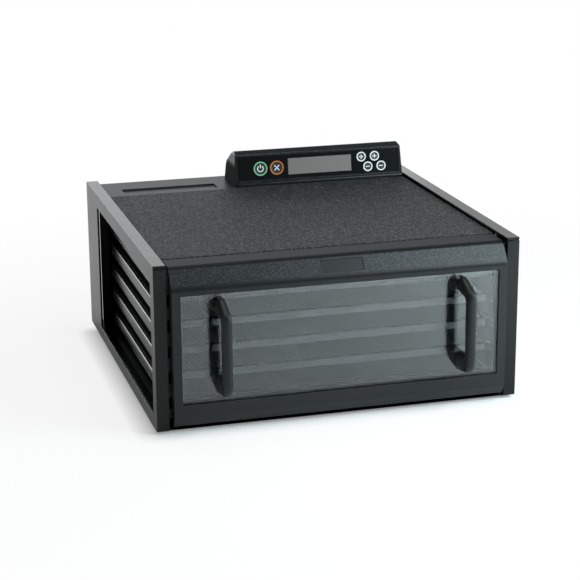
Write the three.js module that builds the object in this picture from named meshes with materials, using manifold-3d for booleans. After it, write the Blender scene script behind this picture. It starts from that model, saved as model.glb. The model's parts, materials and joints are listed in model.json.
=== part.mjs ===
// Food dehydrator. Five trays slide in a ribbed case between two rectangular side frames, behind a clear
// door hung from its top edge. A fan and a ring heater at the rear blow warm air forwards over the trays,
// and a raked control head stands on the roof.
// Millimetres, +Z up, +X to the right; the door faces -Y. The model is laid out from the front plane of the
// side frames (y = 0) and their underside (z = 0), and the last group moves it onto its origin: the centre
// of its bounding box in X and Y, the soles of the feet in Z.

import * as THREE from 'three'
import { mergeVertices } from 'three/addons/utils/BufferGeometryUtils.js'
import Module from 'manifold-3d'

const wasm = await Module()
wasm.setup()

// ---------------------------------------------------------------------------------------------------
// Driving dimensions
// ---------------------------------------------------------------------------------------------------

const seat = 0.3                  // clearance between pieces that bear on each other
const running = 0.3               // radial clearance of pins, shafts and plungers
const cutPast = 1                 // how far a cutting shape passes the faces that it opens

// Side frames
const overallWidth = 432          // over the outer faces of both frames
const frameDepth = 438.6
const frameThickness = 14.4
const frameWall = 2.5
const frameTopRail = 18
const frameBottomRail = 15
const frameFrontStile = 19
const frameRearStile = 78
const frameCorner = 4             // rounding of the outline
const frameOpeningCorner = 2
const frameLipHeight = 2.6        // thin lip along the top of the front edge
const frameLipSetback = 0.4
const frameGrooveHeight = 0.8
const frameGrooveDepth = 1.6
const frameBandHeight = 3.4       // rounded band under the groove
const frameBandEdge = 1.4
const frameTopEdge = 1

// Case: a floor and two corrugated walls in one moulding
const caseWall = 3
const caseFloorZ = 0.5            // underside of the floor
const caseFrontY = 7
const sillHeight = 8.5            // full-width foot of the walls, measured from the underside of the floor
const sillFrontY = 2
const ribSetback = 1.3            // ribs stand this far inside the face of the sill
const ribDepth = 9.5
const ribDraft = 1                // rise of a rib's sloping flank
const ribEdge = 1                 // chamfer along a rib's crest
const ribFadeLength = 45          // over this length at the rear the ribs sink into the wall,
const ribPastBaffle = 28          // and this far behind the front of the air baffle they are gone
const ribFadeSteps = 3
const frontFlange = 3             // plate that closes the grooves between the ribs at the front

// Trays
const trayCount = 5
const trayPitch = 30.1
const firstTrayZ = 27             // underside of the lowest tray
const spaceOverTrays = 16.5       // from the last tray's space to the top of the side frames
const trayHeight = 8
const trayFrontY = 10
const trayRearGap = 6             // between a tray and the air baffle
const traySideGap = 6.5           // between a tray's edge and the bottom of its channel
const trayLift = 0.6              // play above a tray in its channel
const trayRim = 8
const trayGridHeight = 4
const trayRibWidth = 3
const trayCellsAcross = 7
const trayCellsDeep = 3
const trayFrontCorner = 3
const trayRearCorner = 25
const screenThickness = 1

// Roof
const roofDrop = 4                // top of the roof below the top of the side frames
const roofThickness = 3.7
const roofSideGap = 1.3           // open joint between the roof and the side frames
const roofFrontChamfer = 1.2
const pocketDepth = 2.2           // shallow recess left of the control head
const pocketSetback = 5           // its front edge behind the control head's
const pocketLength = 25.6
const pocketSideMargin = 22.7
const pocketHeadGap = 21

// Rear cover, with the air inlet and the power inlet
const coverInset = 5.7            // its outer face in front of the side frames' rear edge
const coverThickness = 3
const inletRingInsets = [22, 5]   // the middles of the two rings of air slots, inside the fan's tips
const inletSlotLength = 13
const inletSlotWidth = 5
const inletSlotCount = 13
const powerInletFromSide = 51.3   // its middle, from the case's side
const powerInletZ = 32
const powerInletWidth = 27.5
const powerInletHeight = 20
const powerInletDepth = 17
const powerInletFlangeSide = 4
const powerInletFlangeTop = 1.5
const powerInletWall = 2
const powerInletKeyCorner = 4     // slant of the mouth's upper corners
const powerInletBladeSet = 5.2    // the blades' tips behind the mouth
const powerInletBladeSpread = 7
const powerInletBladeRise = 2
const powerInletBladeThickness = 2
const powerInletBladeHeight = 4

// Fan, motor and heater behind the trays: they stack forwards from the rear cover
const baffleThickness = 3
const baffleSlotLength = 55
const baffleSlotHeight = 8
const baffleSlotsAcross = 5
const baffleSlotMargin = 20.2     // from the outermost slot to the baffle's edge
const fanPanelThickness = 3
const fanCoilGap = 16             // the fan's tips inside the middle of the heater coil
const fanTipGap = 4
const fanRingWall = 2.5
const fanRingLength = 8
const hubRadius = 15
const hubLength = 16
const hubProud = 9                // front of the hub before the fan panel
const hubChamfer = 4
const bladeCount = 6
const bladeThickness = 1.8
const bladeCamber = 2
const bladeRootChord = 20
const bladeTipChord = 30
const bladeRootPitch = 42         // degrees from the plane of rotation
const bladeTipPitch = 20
const shaftRadius = 3
const shaftProud = 2              // front of the shaft before the hub
const motorRadius = 29
const motorLength = 26
const motorEdge = 3
const motorBoreFloor = 4
const motorHubGap = 4
const motorCoverGap = 4.3
const motorBossRadius = 10
const motorBossLength = 3
const bracketRingWall = 3.5
const bracketRingLength = 14
const bracketArmWidth = 9
const bracketArmThickness = 3
const bracketArmCount = 3
const coilRadius = 4.2
const coilWireRadius = 0.9
const coilTurns = 19
const coilSweep = 340             // degrees of ring that the coil fills
const coilAxialGap = 4            // from the fan panel's mica ring to the coil
const coilBaffleGap = 4.7
const heaterRoofGap = 8.4         // from the mica ring to the roof and to the floor
const micaThickness = 1.6
const micaRingHalfWidth = 9
const micaTabCount = 6
const cutoutRadius = 8
const cutoutHeight = 7
const cutoutBladeOffset = 4.5     // from the middle of the can to each of its two blades
const cutoutBladeWidth = 5
const cutoutBladeLength = 6
const cutoutBladeThickness = 0.8
const cutoutFromWall = 62.5
const cutoutZ = 42
const probeRadius = 2.5
const probeCollarLength = 3
const probeFromWall = 37.5
const probeBelowRoof = 18.3
const probeReach = 3.5            // its tip stands this far in front of the baffle

// Door
const doorSideGap = 3.8
const doorFrontY = -10.5
const doorBackY = 5.5
const doorBottomZ = 7
const doorSillGap = 1.5           // between the door and the case's sill below it
const doorChamferHeight = 12
const doorChamferDepth = 6.5
const headerHeight = 22.6         // rise of the sloping header
const headerTopY = 6.5            // where it meets the top strip
const stripThickness = 8
const hingeBehindFront = 36.2     // hinge axis behind the front plane
const hingeRoofGap = 1.6
const hingePinRadius = 1.5
const hingePinReach = 12          // into the door's end
const hingeCollarRadius = 3.6
const hingeBossRadius = 5
const hingeBossDepth = 9
const windowSide = 9.8            // width of the door's visible stiles
const windowBottomZ = 33.8
const windowTopRail = 7.2         // between the window and the header's slope
const paneSetback = 2.5           // pane behind the door's front face
const paneThickness = 4
const paneRebate = 4.3            // pane behind the edge of the window on each side
const gasketWidth = 6
const gasketThickness = 3
const headerPocketHeight = 9      // hollow behind the header's slope
const headerPocketDepth = 6
const badgeWidth = 51
const badgeHeight = 16
const badgeDepth = 0.6

// Handles
const handleFromDoorEnd = 54.7    // its middle, from the end of the door
const handleAboveMiddle = 1.6     // its middle above the window's
const handleWidth = 9.5
const handleProjection = 36       // in front of the pane
const handleFootHalf = 56.8
const handleCrown = 44.5          // upper end of the grip, above the middle
const handleChin = 50.3           // lower end of the grip, below the middle
const handleGripDepth = 13
const handleShoulder = 14         // the upper arm runs level this far, then slants down
const handleGapTop = 38.6
const handleGapBottom = 33.2
const handleGapTaper = 3          // the finger gap is this much shorter at the grip
const handleEdge = 3              // rounding of the long edges
const handleShoulderRadius = 12
const handleKinkRadius = 2.5
const handleChinRadius = 15
const handleGapUpperRadius = 8
const handleGapLowerRadius = 4
const handleScrewInset = 10.5     // from the end of the handle's foot
const screwRadius = 2
const screwHeadRadius = 3.6
const screwHeadHeight = 2
const screwHeadEdge = 0.6
const screwReach = 8              // into the handle

// Control head: sizes on its front are measured along and up the raked face
const headSideInset = 1           // right end inside the case's sill
const headRearMargin = 20.6       // its rear foot before the side frames' rear edge
const headDepth = 56
const headLean = 8.5              // degrees
const headFaceHeight = 40.8
const headBrowDepth = 12          // above the face the brow leans back this far
const headBrowRise = 4.4          // while it rises this much
const headBrowEdge = 1.5
const headEndDraft = 2.1          // the ends lean inwards over the height of the face,
const headEndChamfer = 2.6        // and further over the rise of the brow
const headRearHeight = 24.4
const headRearInset = 4.7
const headTopEdge = 3
const headRearEdge = 6
const headWall = 2.6
const headFrontWall = 5
const headLipHeight = 2.8
const headLipSlope = 2.4          // height of the lip's slanting top
const headLipProjection = 2
const headLipEdge = 1
const headLipSlant = 0.8
const headLipInset = 4            // the lip stops this far from the head's left end
const headMargin = 4              // face above the overlay
const headCheek = 5               // face beside the overlay
const overlayInset = 0.8
const overlayLipGap = 2           // between the overlay and the lip at the head's foot
const overlayThickness = 1.2
const startKeyX = 36.3            // from the head's left end
const largeKeyPitch = 22.4
const largeKeyZ = 21.7
const keyToDisplay = 15.3         // from the stop key's middle to the display
const displayToKeys = 14.1        // from the display to the first small key's middle
const smallKeyPitch = 18.6
const smallKeyShift = 8.8         // the lower row stands this far to the right of the upper
const upperKeyZ = 28.9
const lowerKeyZ = 15.4
const keysToHeadEnd = 29.3        // from the last key's middle to the head's right end
const lcdZ = 11.3
const lcdWidth = 88
const lcdHeight = 21.9
const lcdLedge = 2.6
const lcdModuleDepth = 5
const lcdModuleMargin = 1
const displaySetback = 0.1        // behind the face of the overlay
const boardMargin = 12
const boardThickness = 1.6
const boardBottomZ = 7.8
const boardHeight = 28
const switchSize = 6
const switchHeight = 1.5
const boardPostRadius = 2.4
const buttonTravel = 1
const buttonProud = 0.3           // face of a button in front of the overlay
const buttonFlange = 0.9
const buttonFlangeThickness = 1.2
const buttonStemRadius = 2.4
const buttonEdge = 0.4
const largeButtonRadius = 9.7
const smallButtonRadius = 6.9
const wireHoleFromHeadEnd = 89
const wireHoleWidth = 30
const wireHoleDepth = 14

// Feet
const footHeight = 3              // below the side frames
const footRadius = 9
const footEdge = 1.5
const footFromFrame = 36.6        // its middle, from the inside of the side frame
const footFrontY = 35
const footFromRear = 40

// ---------------------------------------------------------------------------------------------------
// Places worked out from the driving dimensions
// ---------------------------------------------------------------------------------------------------

// Across
const frameInnerX = overallWidth / 2 - frameThickness
const sillX = frameInnerX - seat
const ribX = sillX - ribSetback
const webX = ribX - ribDepth
const trayHalfWidth = ribX - caseWall - traySideGap
const innerWallX = webX - caseWall
const compartmentHalfWidth = innerWallX - seat
const baffleSlotPitch =
  (2 * (compartmentHalfWidth - baffleSlotMargin) - baffleSlotLength) / (baffleSlotsAcross - 1)
const roofHalfWidth = frameInnerX - roofSideGap
const doorHalfWidth = frameInnerX - doorSideGap
const windowHalfWidth = doorHalfWidth - windowSide
const handleX = doorHalfWidth - handleFromDoorEnd
const footX = frameInnerX - footFromFrame
const powerInletX = sillX - powerInletFromSide
const cutoutX = cutoutFromWall - innerWallX
const probeX = innerWallX - probeFromWall

// Upwards: the trays' pitch sets the height of the case
const frameHeight = firstTrayZ + trayCount * trayPitch + spaceOverTrays
const floorTopZ = caseFloorZ + caseWall
const roofZ = frameHeight - roofDrop
const roofUnderZ = roofZ - roofThickness
const flangeZ = roofUnderZ - seat
const headerBottomZ = roofZ - headerHeight
const windowTopZ = headerBottomZ - windowTopRail
const handleCentreZ = (windowBottomZ + windowTopZ) / 2 + handleAboveMiddle
const handleScrewOffset = handleFootHalf - handleScrewInset
const hingeZ = roofZ - stripThickness / 2
const knuckleRadius = stripThickness / 2
const fanCentreZ = (floorTopZ + roofUnderZ) / 2
const coilRingRadius = (roofUnderZ - floorTopZ) / 2 - heaterRoofGap - micaRingHalfWidth
const fanRadius = coilRingRadius - fanCoilGap
const probeZ = roofUnderZ - probeBelowRoof

// Front to rear
const roofFrontY = hingeBehindFront + knuckleRadius + hingeRoofGap
const paneFrontY = doorFrontY + paneSetback
const paneBackY = paneFrontY + paneThickness
const handleFrontY = paneFrontY - handleProjection
const coverY = frameDepth - coverInset - coverThickness
const caseRearY = coverY - seat
const motorY = coverY - motorCoverGap - motorLength
const hubFrontY = motorY - motorHubGap - hubLength
const shaftFrontY = hubFrontY - shaftProud
const fanPanelY = hubFrontY + hubProud
const fanPanelBackY = fanPanelY + fanPanelThickness
const micaRingY = fanPanelY - seat - micaThickness
const coilY = micaRingY - coilAxialGap - coilRadius
const baffleY = coilY - coilRadius - coilBaffleGap - baffleThickness
const trayRearY = baffleY - trayRearGap
const ribFadeEnd = baffleY + ribPastBaffle
const ribStraightEnd = ribFadeEnd - ribFadeLength
const footRearY = frameDepth - footFromRear

// The control head, and places on its face from its left end
const stopKeyX = startKeyX + largeKeyPitch
const lcdX = stopKeyX + keyToDisplay
const smallKeyX = lcdX + lcdWidth + displayToKeys
const headWidth = smallKeyX + smallKeyPitch + smallKeyShift + keysToHeadEnd
const headRightX = sillX - headSideInset
const headLeftX = headRightX - headWidth
const headFrontY = frameDepth - headRearMargin - headDepth
const headBaseZ = roofZ + seat
const headTilt = THREE.MathUtils.degToRad(headLean)
const pocketFrontY = headFrontY + pocketSetback
const wireHoleX = headLeftX + wireHoleFromHeadEnd
const overlayBackY = overlayInset + overlayThickness
const recessDepth = overlayBackY + seat
const overlayBottomZ = headLipHeight + headLipSlope + overlayLipGap
const overlayTopZ = headFaceHeight - headMargin
const boardY = headFrontWall + seat + lcdModuleDepth + seat

// The six buttons: name, place of its middle on the head's face, and radius
const buttons = [
  ['button_start', startKeyX, largeKeyZ, largeButtonRadius],
  ['button_stop', stopKeyX, largeKeyZ, largeButtonRadius],
  ['button_temp_up', smallKeyX, upperKeyZ, smallButtonRadius],
  ['button_time_up', smallKeyX + smallKeyPitch, upperKeyZ, smallButtonRadius],
  ['button_temp_down', smallKeyX + smallKeyShift, lowerKeyZ, smallButtonRadius],
  ['button_time_down', smallKeyX + smallKeyShift + smallKeyPitch, lowerKeyZ, smallButtonRadius],
]

// ---------------------------------------------------------------------------------------------------
// Materials
// ---------------------------------------------------------------------------------------------------

const material = (color, roughness, metalness = 0) =>
  new THREE.MeshStandardMaterial({ color, roughness, metalness })

const blackCase = material(0x2a2d2f, 0.55)
const greyFrame = material(0x3f4446, 0.45)
const grainedRoof = material(0x484c4e, 0.8)
const glossDoor = material(0x35393b, 0.35)
const blackHandle = material(0x1b1d1e, 0.5)
const trayPlastic = material(0x767f86, 0.6)
const screenPlastic = material(0x9aa0a4, 0.7)
const clearPane = new THREE.MeshStandardMaterial({
  color: 0xaeb9c0, roughness: 0.1, transparent: true, opacity: 0.35,
})
const overlayFilm = material(0x222426, 0.4)
const greyDisplay = material(0x7d807e, 0.3)
const greenKey = material(0x6ec382, 0.5)
const orangeKey = material(0xc86e32, 0.5)
const whiteKey = material(0xe1e1e1, 0.5)
const siliconeSeal = material(0x8c9093, 0.9)
const zincSteel = material(0xb4b6b8, 0.35, 1)
const motorSteel = material(0x8a8c8e, 0.45, 1)
const aluminiumBlade = material(0xb9bcc0, 0.4, 1)
const micaSheet = material(0xb59a6a, 0.8)
const coilAlloy = material(0x6b6763, 0.5, 1)
const circuitBoard = material(0x1e5a35, 0.6)
const rubberFoot = material(0x17181a, 0.9)

// ---------------------------------------------------------------------------------------------------
// Geometry helpers
// ---------------------------------------------------------------------------------------------------

const X = new THREE.Vector3(1, 0, 0)
const Y = new THREE.Vector3(0, 1, 0)
const Z = new THREE.Vector3(0, 0, 1)
const curveSegments = 4

// Six times the signed volume of an indexed closed surface: negative when its faces point inwards
function signedVolume(position, index) {
  const corners = [new THREE.Vector3(), new THREE.Vector3(), new THREE.Vector3()]
  let sum = 0
  for (let i = 0; i < index.length; i += 3) {
    corners.forEach((corner, k) => corner.fromArray(position, 3 * index[i + k]))
    sum += corners[0].dot(corners[1].cross(corners[2]))
  }
  return sum
}

// A copy with shared vertices merged, empty triangles dropped and every face pointing outwards
function closed(geometry) {
  const bare = geometry.clone()
  for (const name of ['normal', 'uv']) bare.deleteAttribute(name)
  const merged = mergeVertices(bare, 1e-4)
  const position = merged.attributes.position.array
  const index = []
  for (let i = 0; i < merged.index.count; i += 3) {
    const [a, b, c] = [0, 1, 2].map((k) => merged.index.getX(i + k))
    if (a !== b && b !== c && c !== a) index.push(a, b, c)
  }
  if (signedVolume(position, index) < 0) index.reverse()
  const result = new THREE.BufferGeometry()
  result.setAttribute('position', new THREE.BufferAttribute(new Float32Array(position), 3))
  result.setIndex(index)
  return result
}

function toSolid(geometry) {
  const { attributes, index } = closed(geometry)
  const vertProperties = attributes.position.array
  return new wasm.Manifold(
    new wasm.Mesh({ numProp: 3, vertProperties, triVerts: new Uint32Array(index.array) }))
}

function toGeometry(solid) {
  const { vertProperties, triVerts } = solid.getMesh()
  const geometry = new THREE.BufferGeometry()
  geometry.setAttribute('position', new THREE.BufferAttribute(new Float32Array(vertProperties), 3))
  geometry.setIndex(new THREE.BufferAttribute(new Uint32Array(triVerts), 1))
  return geometry
}

const join = (...pieces) =>
  toGeometry(pieces.map(toSolid).reduce((whole, piece) => whole.add(piece)))

const cut = (base, ...tools) =>
  toGeometry(tools.reduce((rest, tool) => rest.subtract(toSolid(tool)), toSolid(base)))

function box([x0, x1], [y0, y1], [z0, z1]) {
  return new THREE.BoxGeometry(x1 - x0, y1 - y0, z1 - z0)
    .translate((x0 + x1) / 2, (y0 + y1) / 2, (z0 + z1) / 2)
}

// Closed outline through corners [a, b, rounding]
function outline(corners) {
  const shape = new THREE.Shape()
  const at = (i) => new THREE.Vector2(...corners[(i + corners.length) % corners.length])
  const step = (from, to, length) => to.clone().sub(from).setLength(length).add(from)
  corners.forEach(([a, b, rounding = 0], i) => {
    const start = rounding ? step(at(i), at(i - 1), rounding) : at(i)
    if (i) shape.lineTo(start.x, start.y)
    else shape.moveTo(start.x, start.y)
    if (!rounding) return
    const end = step(at(i), at(i + 1), rounding)
    shape.quadraticCurveTo(a, b, end.x, end.y)
  })
  shape.closePath()
  return shape
}

function rectangle([a0, a1], [b0, b1], rounding = 0) {
  return outline([[a0, b0, rounding], [a1, b0, rounding], [a1, b1, rounding], [a0, b1, rounding]])
}

function extrude(shape, depth, options = {}) {
  return new THREE.ExtrudeGeometry(shape, { depth, bevelEnabled: false, curveSegments, ...options })
}

// Outlines in the YZ, XZ and XY planes, pushed along the third axis
function alongX(shape, [from, to], options) {
  return extrude(shape, to - from, options)
    .applyMatrix4(new THREE.Matrix4().makeBasis(Y, Z, X)).translate(from, 0, 0)
}

function alongY(shape, [from, to]) {
  return extrude(shape, to - from)
    .applyMatrix4(new THREE.Matrix4().makeBasis(X, Z, Y.clone().negate())).translate(0, to, 0)
}

function alongZ(shape, [from, to]) {
  return extrude(shape, to - from).translate(0, 0, from)
}

// Solid of revolution about the Y axis through [radius, y] points that start and end on the axis
function turned(points, segments = 24) {
  return new THREE.LatheGeometry(points.map(([r, y]) => new THREE.Vector2(r, y)), segments)
}

function rodAlongY(radius, [from, to], segments = 24) {
  return turned([[0, from], [radius, from], [radius, to], [0, to]], segments)
}

function rodAlongX(radius, [from, to], segments = 16) {
  return rodAlongY(radius, [from, to], segments).rotateZ(-Math.PI / 2)
}

// Closed solid between two surfaces sampled on the same grid of rows and columns
function solidBetween(outer, inner, rows, columns) {
  const position = []
  const index = []
  const at = (side, i, j) => (side * rows + i) * columns + j
  const quad = (a, b, c, d) => index.push(a, b, c, a, c, d)
  for (const surface of [outer, inner]) {
    for (let i = 0; i < rows; i++) for (let j = 0; j < columns; j++) position.push(...surface(i, j))
  }
  for (let i = 0; i + 1 < rows; i++) {
    for (let j = 0; j + 1 < columns; j++) {
      quad(at(0, i, j), at(0, i + 1, j), at(0, i + 1, j + 1), at(0, i, j + 1))
      quad(at(1, i, j), at(1, i, j + 1), at(1, i + 1, j + 1), at(1, i + 1, j))
    }
    quad(at(0, i, 0), at(1, i, 0), at(1, i + 1, 0), at(0, i + 1, 0))
    const last = columns - 1
    quad(at(0, i, last), at(0, i + 1, last), at(1, i + 1, last), at(1, i, last))
  }
  for (let j = 0; j + 1 < columns; j++) {
    quad(at(0, 0, j), at(0, 0, j + 1), at(1, 0, j + 1), at(1, 0, j))
    const last = rows - 1
    quad(at(0, last, j), at(1, last, j), at(1, last, j + 1), at(0, last, j + 1))
  }
  const geometry = new THREE.BufferGeometry()
  geometry.setAttribute('position', new THREE.BufferAttribute(new Float32Array(position), 3))
  geometry.setIndex(index)
  return geometry
}

const mirrored = (geometry) => geometry.clone().scale(-1, 1, 1)
const range = (count) => Array.from({ length: count }, (_, i) => i)

function mesh(name, geometry, finish) {
  const part = new THREE.Mesh(closed(geometry), finish)
  part.geometry.computeVertexNormals()
  part.name = name
  return part
}

function group(...children) {
  const whole = new THREE.Group()
  whole.add(...children.flat())
  return whole
}

// ---------------------------------------------------------------------------------------------------
// Case
// ---------------------------------------------------------------------------------------------------

// Heights of the channel that holds tray k: its floor and roof at the bottom of the channel
function channel(k) {
  const trayZ = firstTrayZ + k * trayPitch
  const bearing = 1 - traySideGap / ribDepth
  return [
    trayZ - seat + ribDraft * (1 - bearing),
    trayZ + trayHeight + trayLift - ribDraft * (1 - bearing),
  ]
}

// Section of the right-hand wall from the floor up: [outer x, outer z, inner x, inner z, is a rib]
function wallSection() {
  const sillTop = caseFloorZ + sillHeight
  const sillInnerX = sillX - caseWall
  const section = [
    [sillX, caseFloorZ, sillInnerX, floorTopZ, false],
    [sillX, sillTop - ribEdge, sillInnerX, sillTop - caseWall - ribEdge, false],
    [webX, sillTop, innerWallX, sillTop - caseWall, false],
  ]
  for (const k of range(trayCount)) {
    const [low, high] = channel(k)
    const innerX = ribX - caseWall
    const edge = ribEdge / 2
    section.push(
      [webX, low - ribDraft - caseWall, innerWallX, low - ribDraft, true],
      [ribX - ribEdge, low - caseWall, innerX - edge, low, true],
      [ribX, low - caseWall + ribEdge, innerX, low + edge, true],
      [ribX, high + caseWall - ribEdge, innerX, high - edge, true],
      [ribX - ribEdge, high + caseWall, innerX - edge, high, true],
      [webX, high + ribDraft + caseWall, innerWallX, high + ribDraft, true],
    )
  }
  section.push(
    [webX, flangeZ - caseWall, innerWallX, flangeZ, false],
    [roofHalfWidth, flangeZ - caseWall, roofHalfWidth, flangeZ, false],
  )
  return section
}

// The moulding: the section swept from front to rear, with the ribs easing into the walls at the rear
function caseShell() {
  const right = wallSection()
  const left = right.map(([ox, oz, ix, iz, rib]) => [-ox, oz, -ix, iz, rib]).reverse()
  const section = [...left, ...right]
  const stations = [
    caseFrontY,
    ...range(ribFadeSteps + 1).map((i) => ribStraightEnd + (i * ribFadeLength) / ribFadeSteps),
    caseRearY,
  ]
  const eased = (x, web, rib, y) => {
    if (!rib) return x
    const depth = 1 - THREE.MathUtils.smoothstep(y, ribStraightEnd, ribFadeEnd)
    return Math.sign(x) * (web + (Math.abs(x) - web) * depth)
  }
  const outer = (i, j) => {
    const [x, z, , , rib] = section[i]
    return [eased(x, webX, rib, stations[j]), stations[j], z]
  }
  const inner = (i, j) => {
    const [, , x, z, rib] = section[i]
    return [eased(x, innerWallX, rib, stations[j]), stations[j], z]
  }
  const shell = solidBetween(outer, inner, section.length, stations.length)
  const sill = box(
    [-sillX, sillX], [sillFrontY, caseFrontY + caseWall], [caseFloorZ, doorBottomZ - doorSillGap])
  const doorSweep = box(
    [-overallWidth, overallWidth], [0, roofFrontY - seat],
    [roofZ - stripThickness - 2 * seat, frameHeight])
  const flange = wallFrontFlange()
  return cut(join(shell, sill, flange, mirrored(flange)), doorSweep)
}

// Plate across the front of the right-hand wall, with a notch for each tray's channel
function wallFrontFlange() {
  const plate = box(
    [webX - caseWall / 2, sillX], [caseFrontY, caseFrontY + frontFlange], [caseFloorZ, flangeZ])
  const notches = range(trayCount).map((k) => {
    const [low, high] = channel(k)
    return box([0, ribX - caseWall], [0, frameDepth], [low - ribDraft, high + ribDraft])
  })
  return cut(plate, ...notches)
}

// A pan open towards the case, with a window in its outer wall and a flange over the window. Its front
// wall reaches back to the front of the case.
function sideFrame() {
  const outerX = overallWidth / 2
  const lipZ = frameHeight - frameLipHeight
  const grooveZ = lipZ - frameGrooveHeight
  const bandZ = grooveZ - frameBandHeight
  const rim = outline([
    [0, 0, frameCorner],
    [frameDepth, 0, frameCorner],
    [frameDepth, frameHeight, frameCorner],
    [frameLipSetback, frameHeight, frameTopEdge],
    [frameLipSetback, lipZ, frameLipSetback],
    [frameGrooveDepth, lipZ],
    [frameGrooveDepth, grooveZ],
    [0, grooveZ, frameBandEdge],
    [0, bandZ],
  ])
  const openingTopZ = frameHeight - frameTopRail
  const hollow = (zRange) => alongX(
    rectangle([caseFrontY + seat, frameDepth - coverInset], zRange, frameCorner / 2),
    [0, outerX - frameWall])
  const opening = rectangle(
    [frameFrontStile, frameDepth - frameRearStile], [frameBottomRail, openingTopZ], frameOpeningCorner)
  const boss = rodAlongX(hingeBossRadius, [frameInnerX, outerX - frameWall / 2], 20)
    .translate(0, hingeBehindFront, hingeZ)
  const bore = rodAlongX(hingePinRadius + running, [0, frameInnerX + hingeBossDepth])
    .translate(0, hingeBehindFront, hingeZ)
  const shell = cut(
    alongX(rim, [frameInnerX, outerX]),
    hollow([frameWall, openingTopZ]),
    hollow([openingTopZ + frameWall, frameHeight - frameWall]),
    alongX(opening, [0, overallWidth]))
  return cut(join(shell, boss), bore)
}

function roof() {
  const profile = outline([
    [roofFrontY, roofUnderZ],
    [caseRearY, roofUnderZ],
    [caseRearY, roofZ],
    [roofFrontY + roofFrontChamfer, roofZ],
    [roofFrontY, roofZ - roofFrontChamfer],
  ])
  const pocketLeftX = -roofHalfWidth + pocketSideMargin
  const pocketRearY = pocketFrontY + pocketLength
  const pocket = rectangle([pocketLeftX, headLeftX - pocketHeadGap], [pocketFrontY, pocketRearY])
  const wireHole = box(
    [wireHoleX, wireHoleX + wireHoleWidth],
    [headFrontY + headDepth / 2, headFrontY + headDepth / 2 + wireHoleDepth],
    [roofUnderZ - cutPast, roofZ + cutPast])
  return cut(
    alongX(profile, [-roofHalfWidth, roofHalfWidth]),
    alongZ(pocket, [roofZ - pocketDepth, roofZ + cutPast]),
    wireHole)
}

function foot() {
  return turned([
    [0, -footHeight],
    [footRadius - footEdge, -footHeight],
    [footRadius, -footHeight + footEdge],
    [footRadius, caseFloorZ - seat],
    [0, caseFloorZ - seat],
  ], 16).rotateX(Math.PI / 2)
}

// ---------------------------------------------------------------------------------------------------
// Trays
// ---------------------------------------------------------------------------------------------------

// A tray seen from above, drawn in by a margin on every side
function trayOutline(inset) {
  const half = trayHalfWidth - inset
  const front = trayFrontY + inset
  const rear = trayRearY - inset
  const rearCorner = trayRearCorner - inset
  return outline([
    [-half, front, trayFrontCorner / 2],
    [half, front, trayFrontCorner / 2],
    [half, rear, rearCorner],
    [-half, rear, rearCorner],
  ])
}

// The cells between the ribs of the tray's grid
function trayCells() {
  const spanX = 2 * (trayHalfWidth - trayRim) + trayRibWidth
  const spanY = trayRearY - trayFrontY - 2 * trayRim + trayRibWidth
  const pitchX = spanX / trayCellsAcross
  const pitchY = spanY / trayCellsDeep
  const startX = -trayHalfWidth + trayRim
  const startY = trayFrontY + trayRim
  const cells = []
  for (const i of range(trayCellsAcross)) {
    for (const j of range(trayCellsDeep)) {
      const isCorner = j === trayCellsDeep - 1 && (i === 0 || i === trayCellsAcross - 1)
      const x = startX + i * pitchX
      const y = startY + j * pitchY
      const inset = isCorner ? trayRearCorner / 2 : 0
      cells.push(rectangle([x, x + pitchX - trayRibWidth], [y, y + pitchY - trayRibWidth - inset]))
    }
  }
  return cells
}

function tray() {
  const well = alongZ(trayOutline(trayRim), [trayGridHeight, trayHeight + cutPast])
  const cells = trayCells().map((cell) => alongZ(cell, [-cutPast, trayHeight]))
  return cut(alongZ(trayOutline(0), [0, trayHeight]), well, ...cells)
}

function trayScreen() {
  const underZ = trayGridHeight + seat
  return alongZ(trayOutline(trayRim + seat), [underZ, underZ + screenThickness])
}

// ---------------------------------------------------------------------------------------------------
// Rear: air baffle, fan, heater and cover
// ---------------------------------------------------------------------------------------------------

function airBaffle() {
  const plate = box(
    [-compartmentHalfWidth, compartmentHalfWidth], [baffleY, baffleY + baffleThickness],
    [floorTopZ + seat, roofUnderZ - seat])
  const slots = range(trayCount).flatMap((k) => range(baffleSlotsAcross).map((i) => {
    const middle = firstTrayZ + k * trayPitch + (trayHeight + trayPitch) / 2
    const x = (i - (baffleSlotsAcross - 1) / 2) * baffleSlotPitch
    return box(
      [x - baffleSlotLength / 2, x + baffleSlotLength / 2], [0, fanPanelY],
      [middle - baffleSlotHeight / 2, middle + baffleSlotHeight / 2])
  }))
  const probeHole = rodAlongY(probeRadius + running, [0, fanPanelY], 12).translate(probeX, 0, probeZ)
  return cut(plate, ...slots, probeHole)
}

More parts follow.
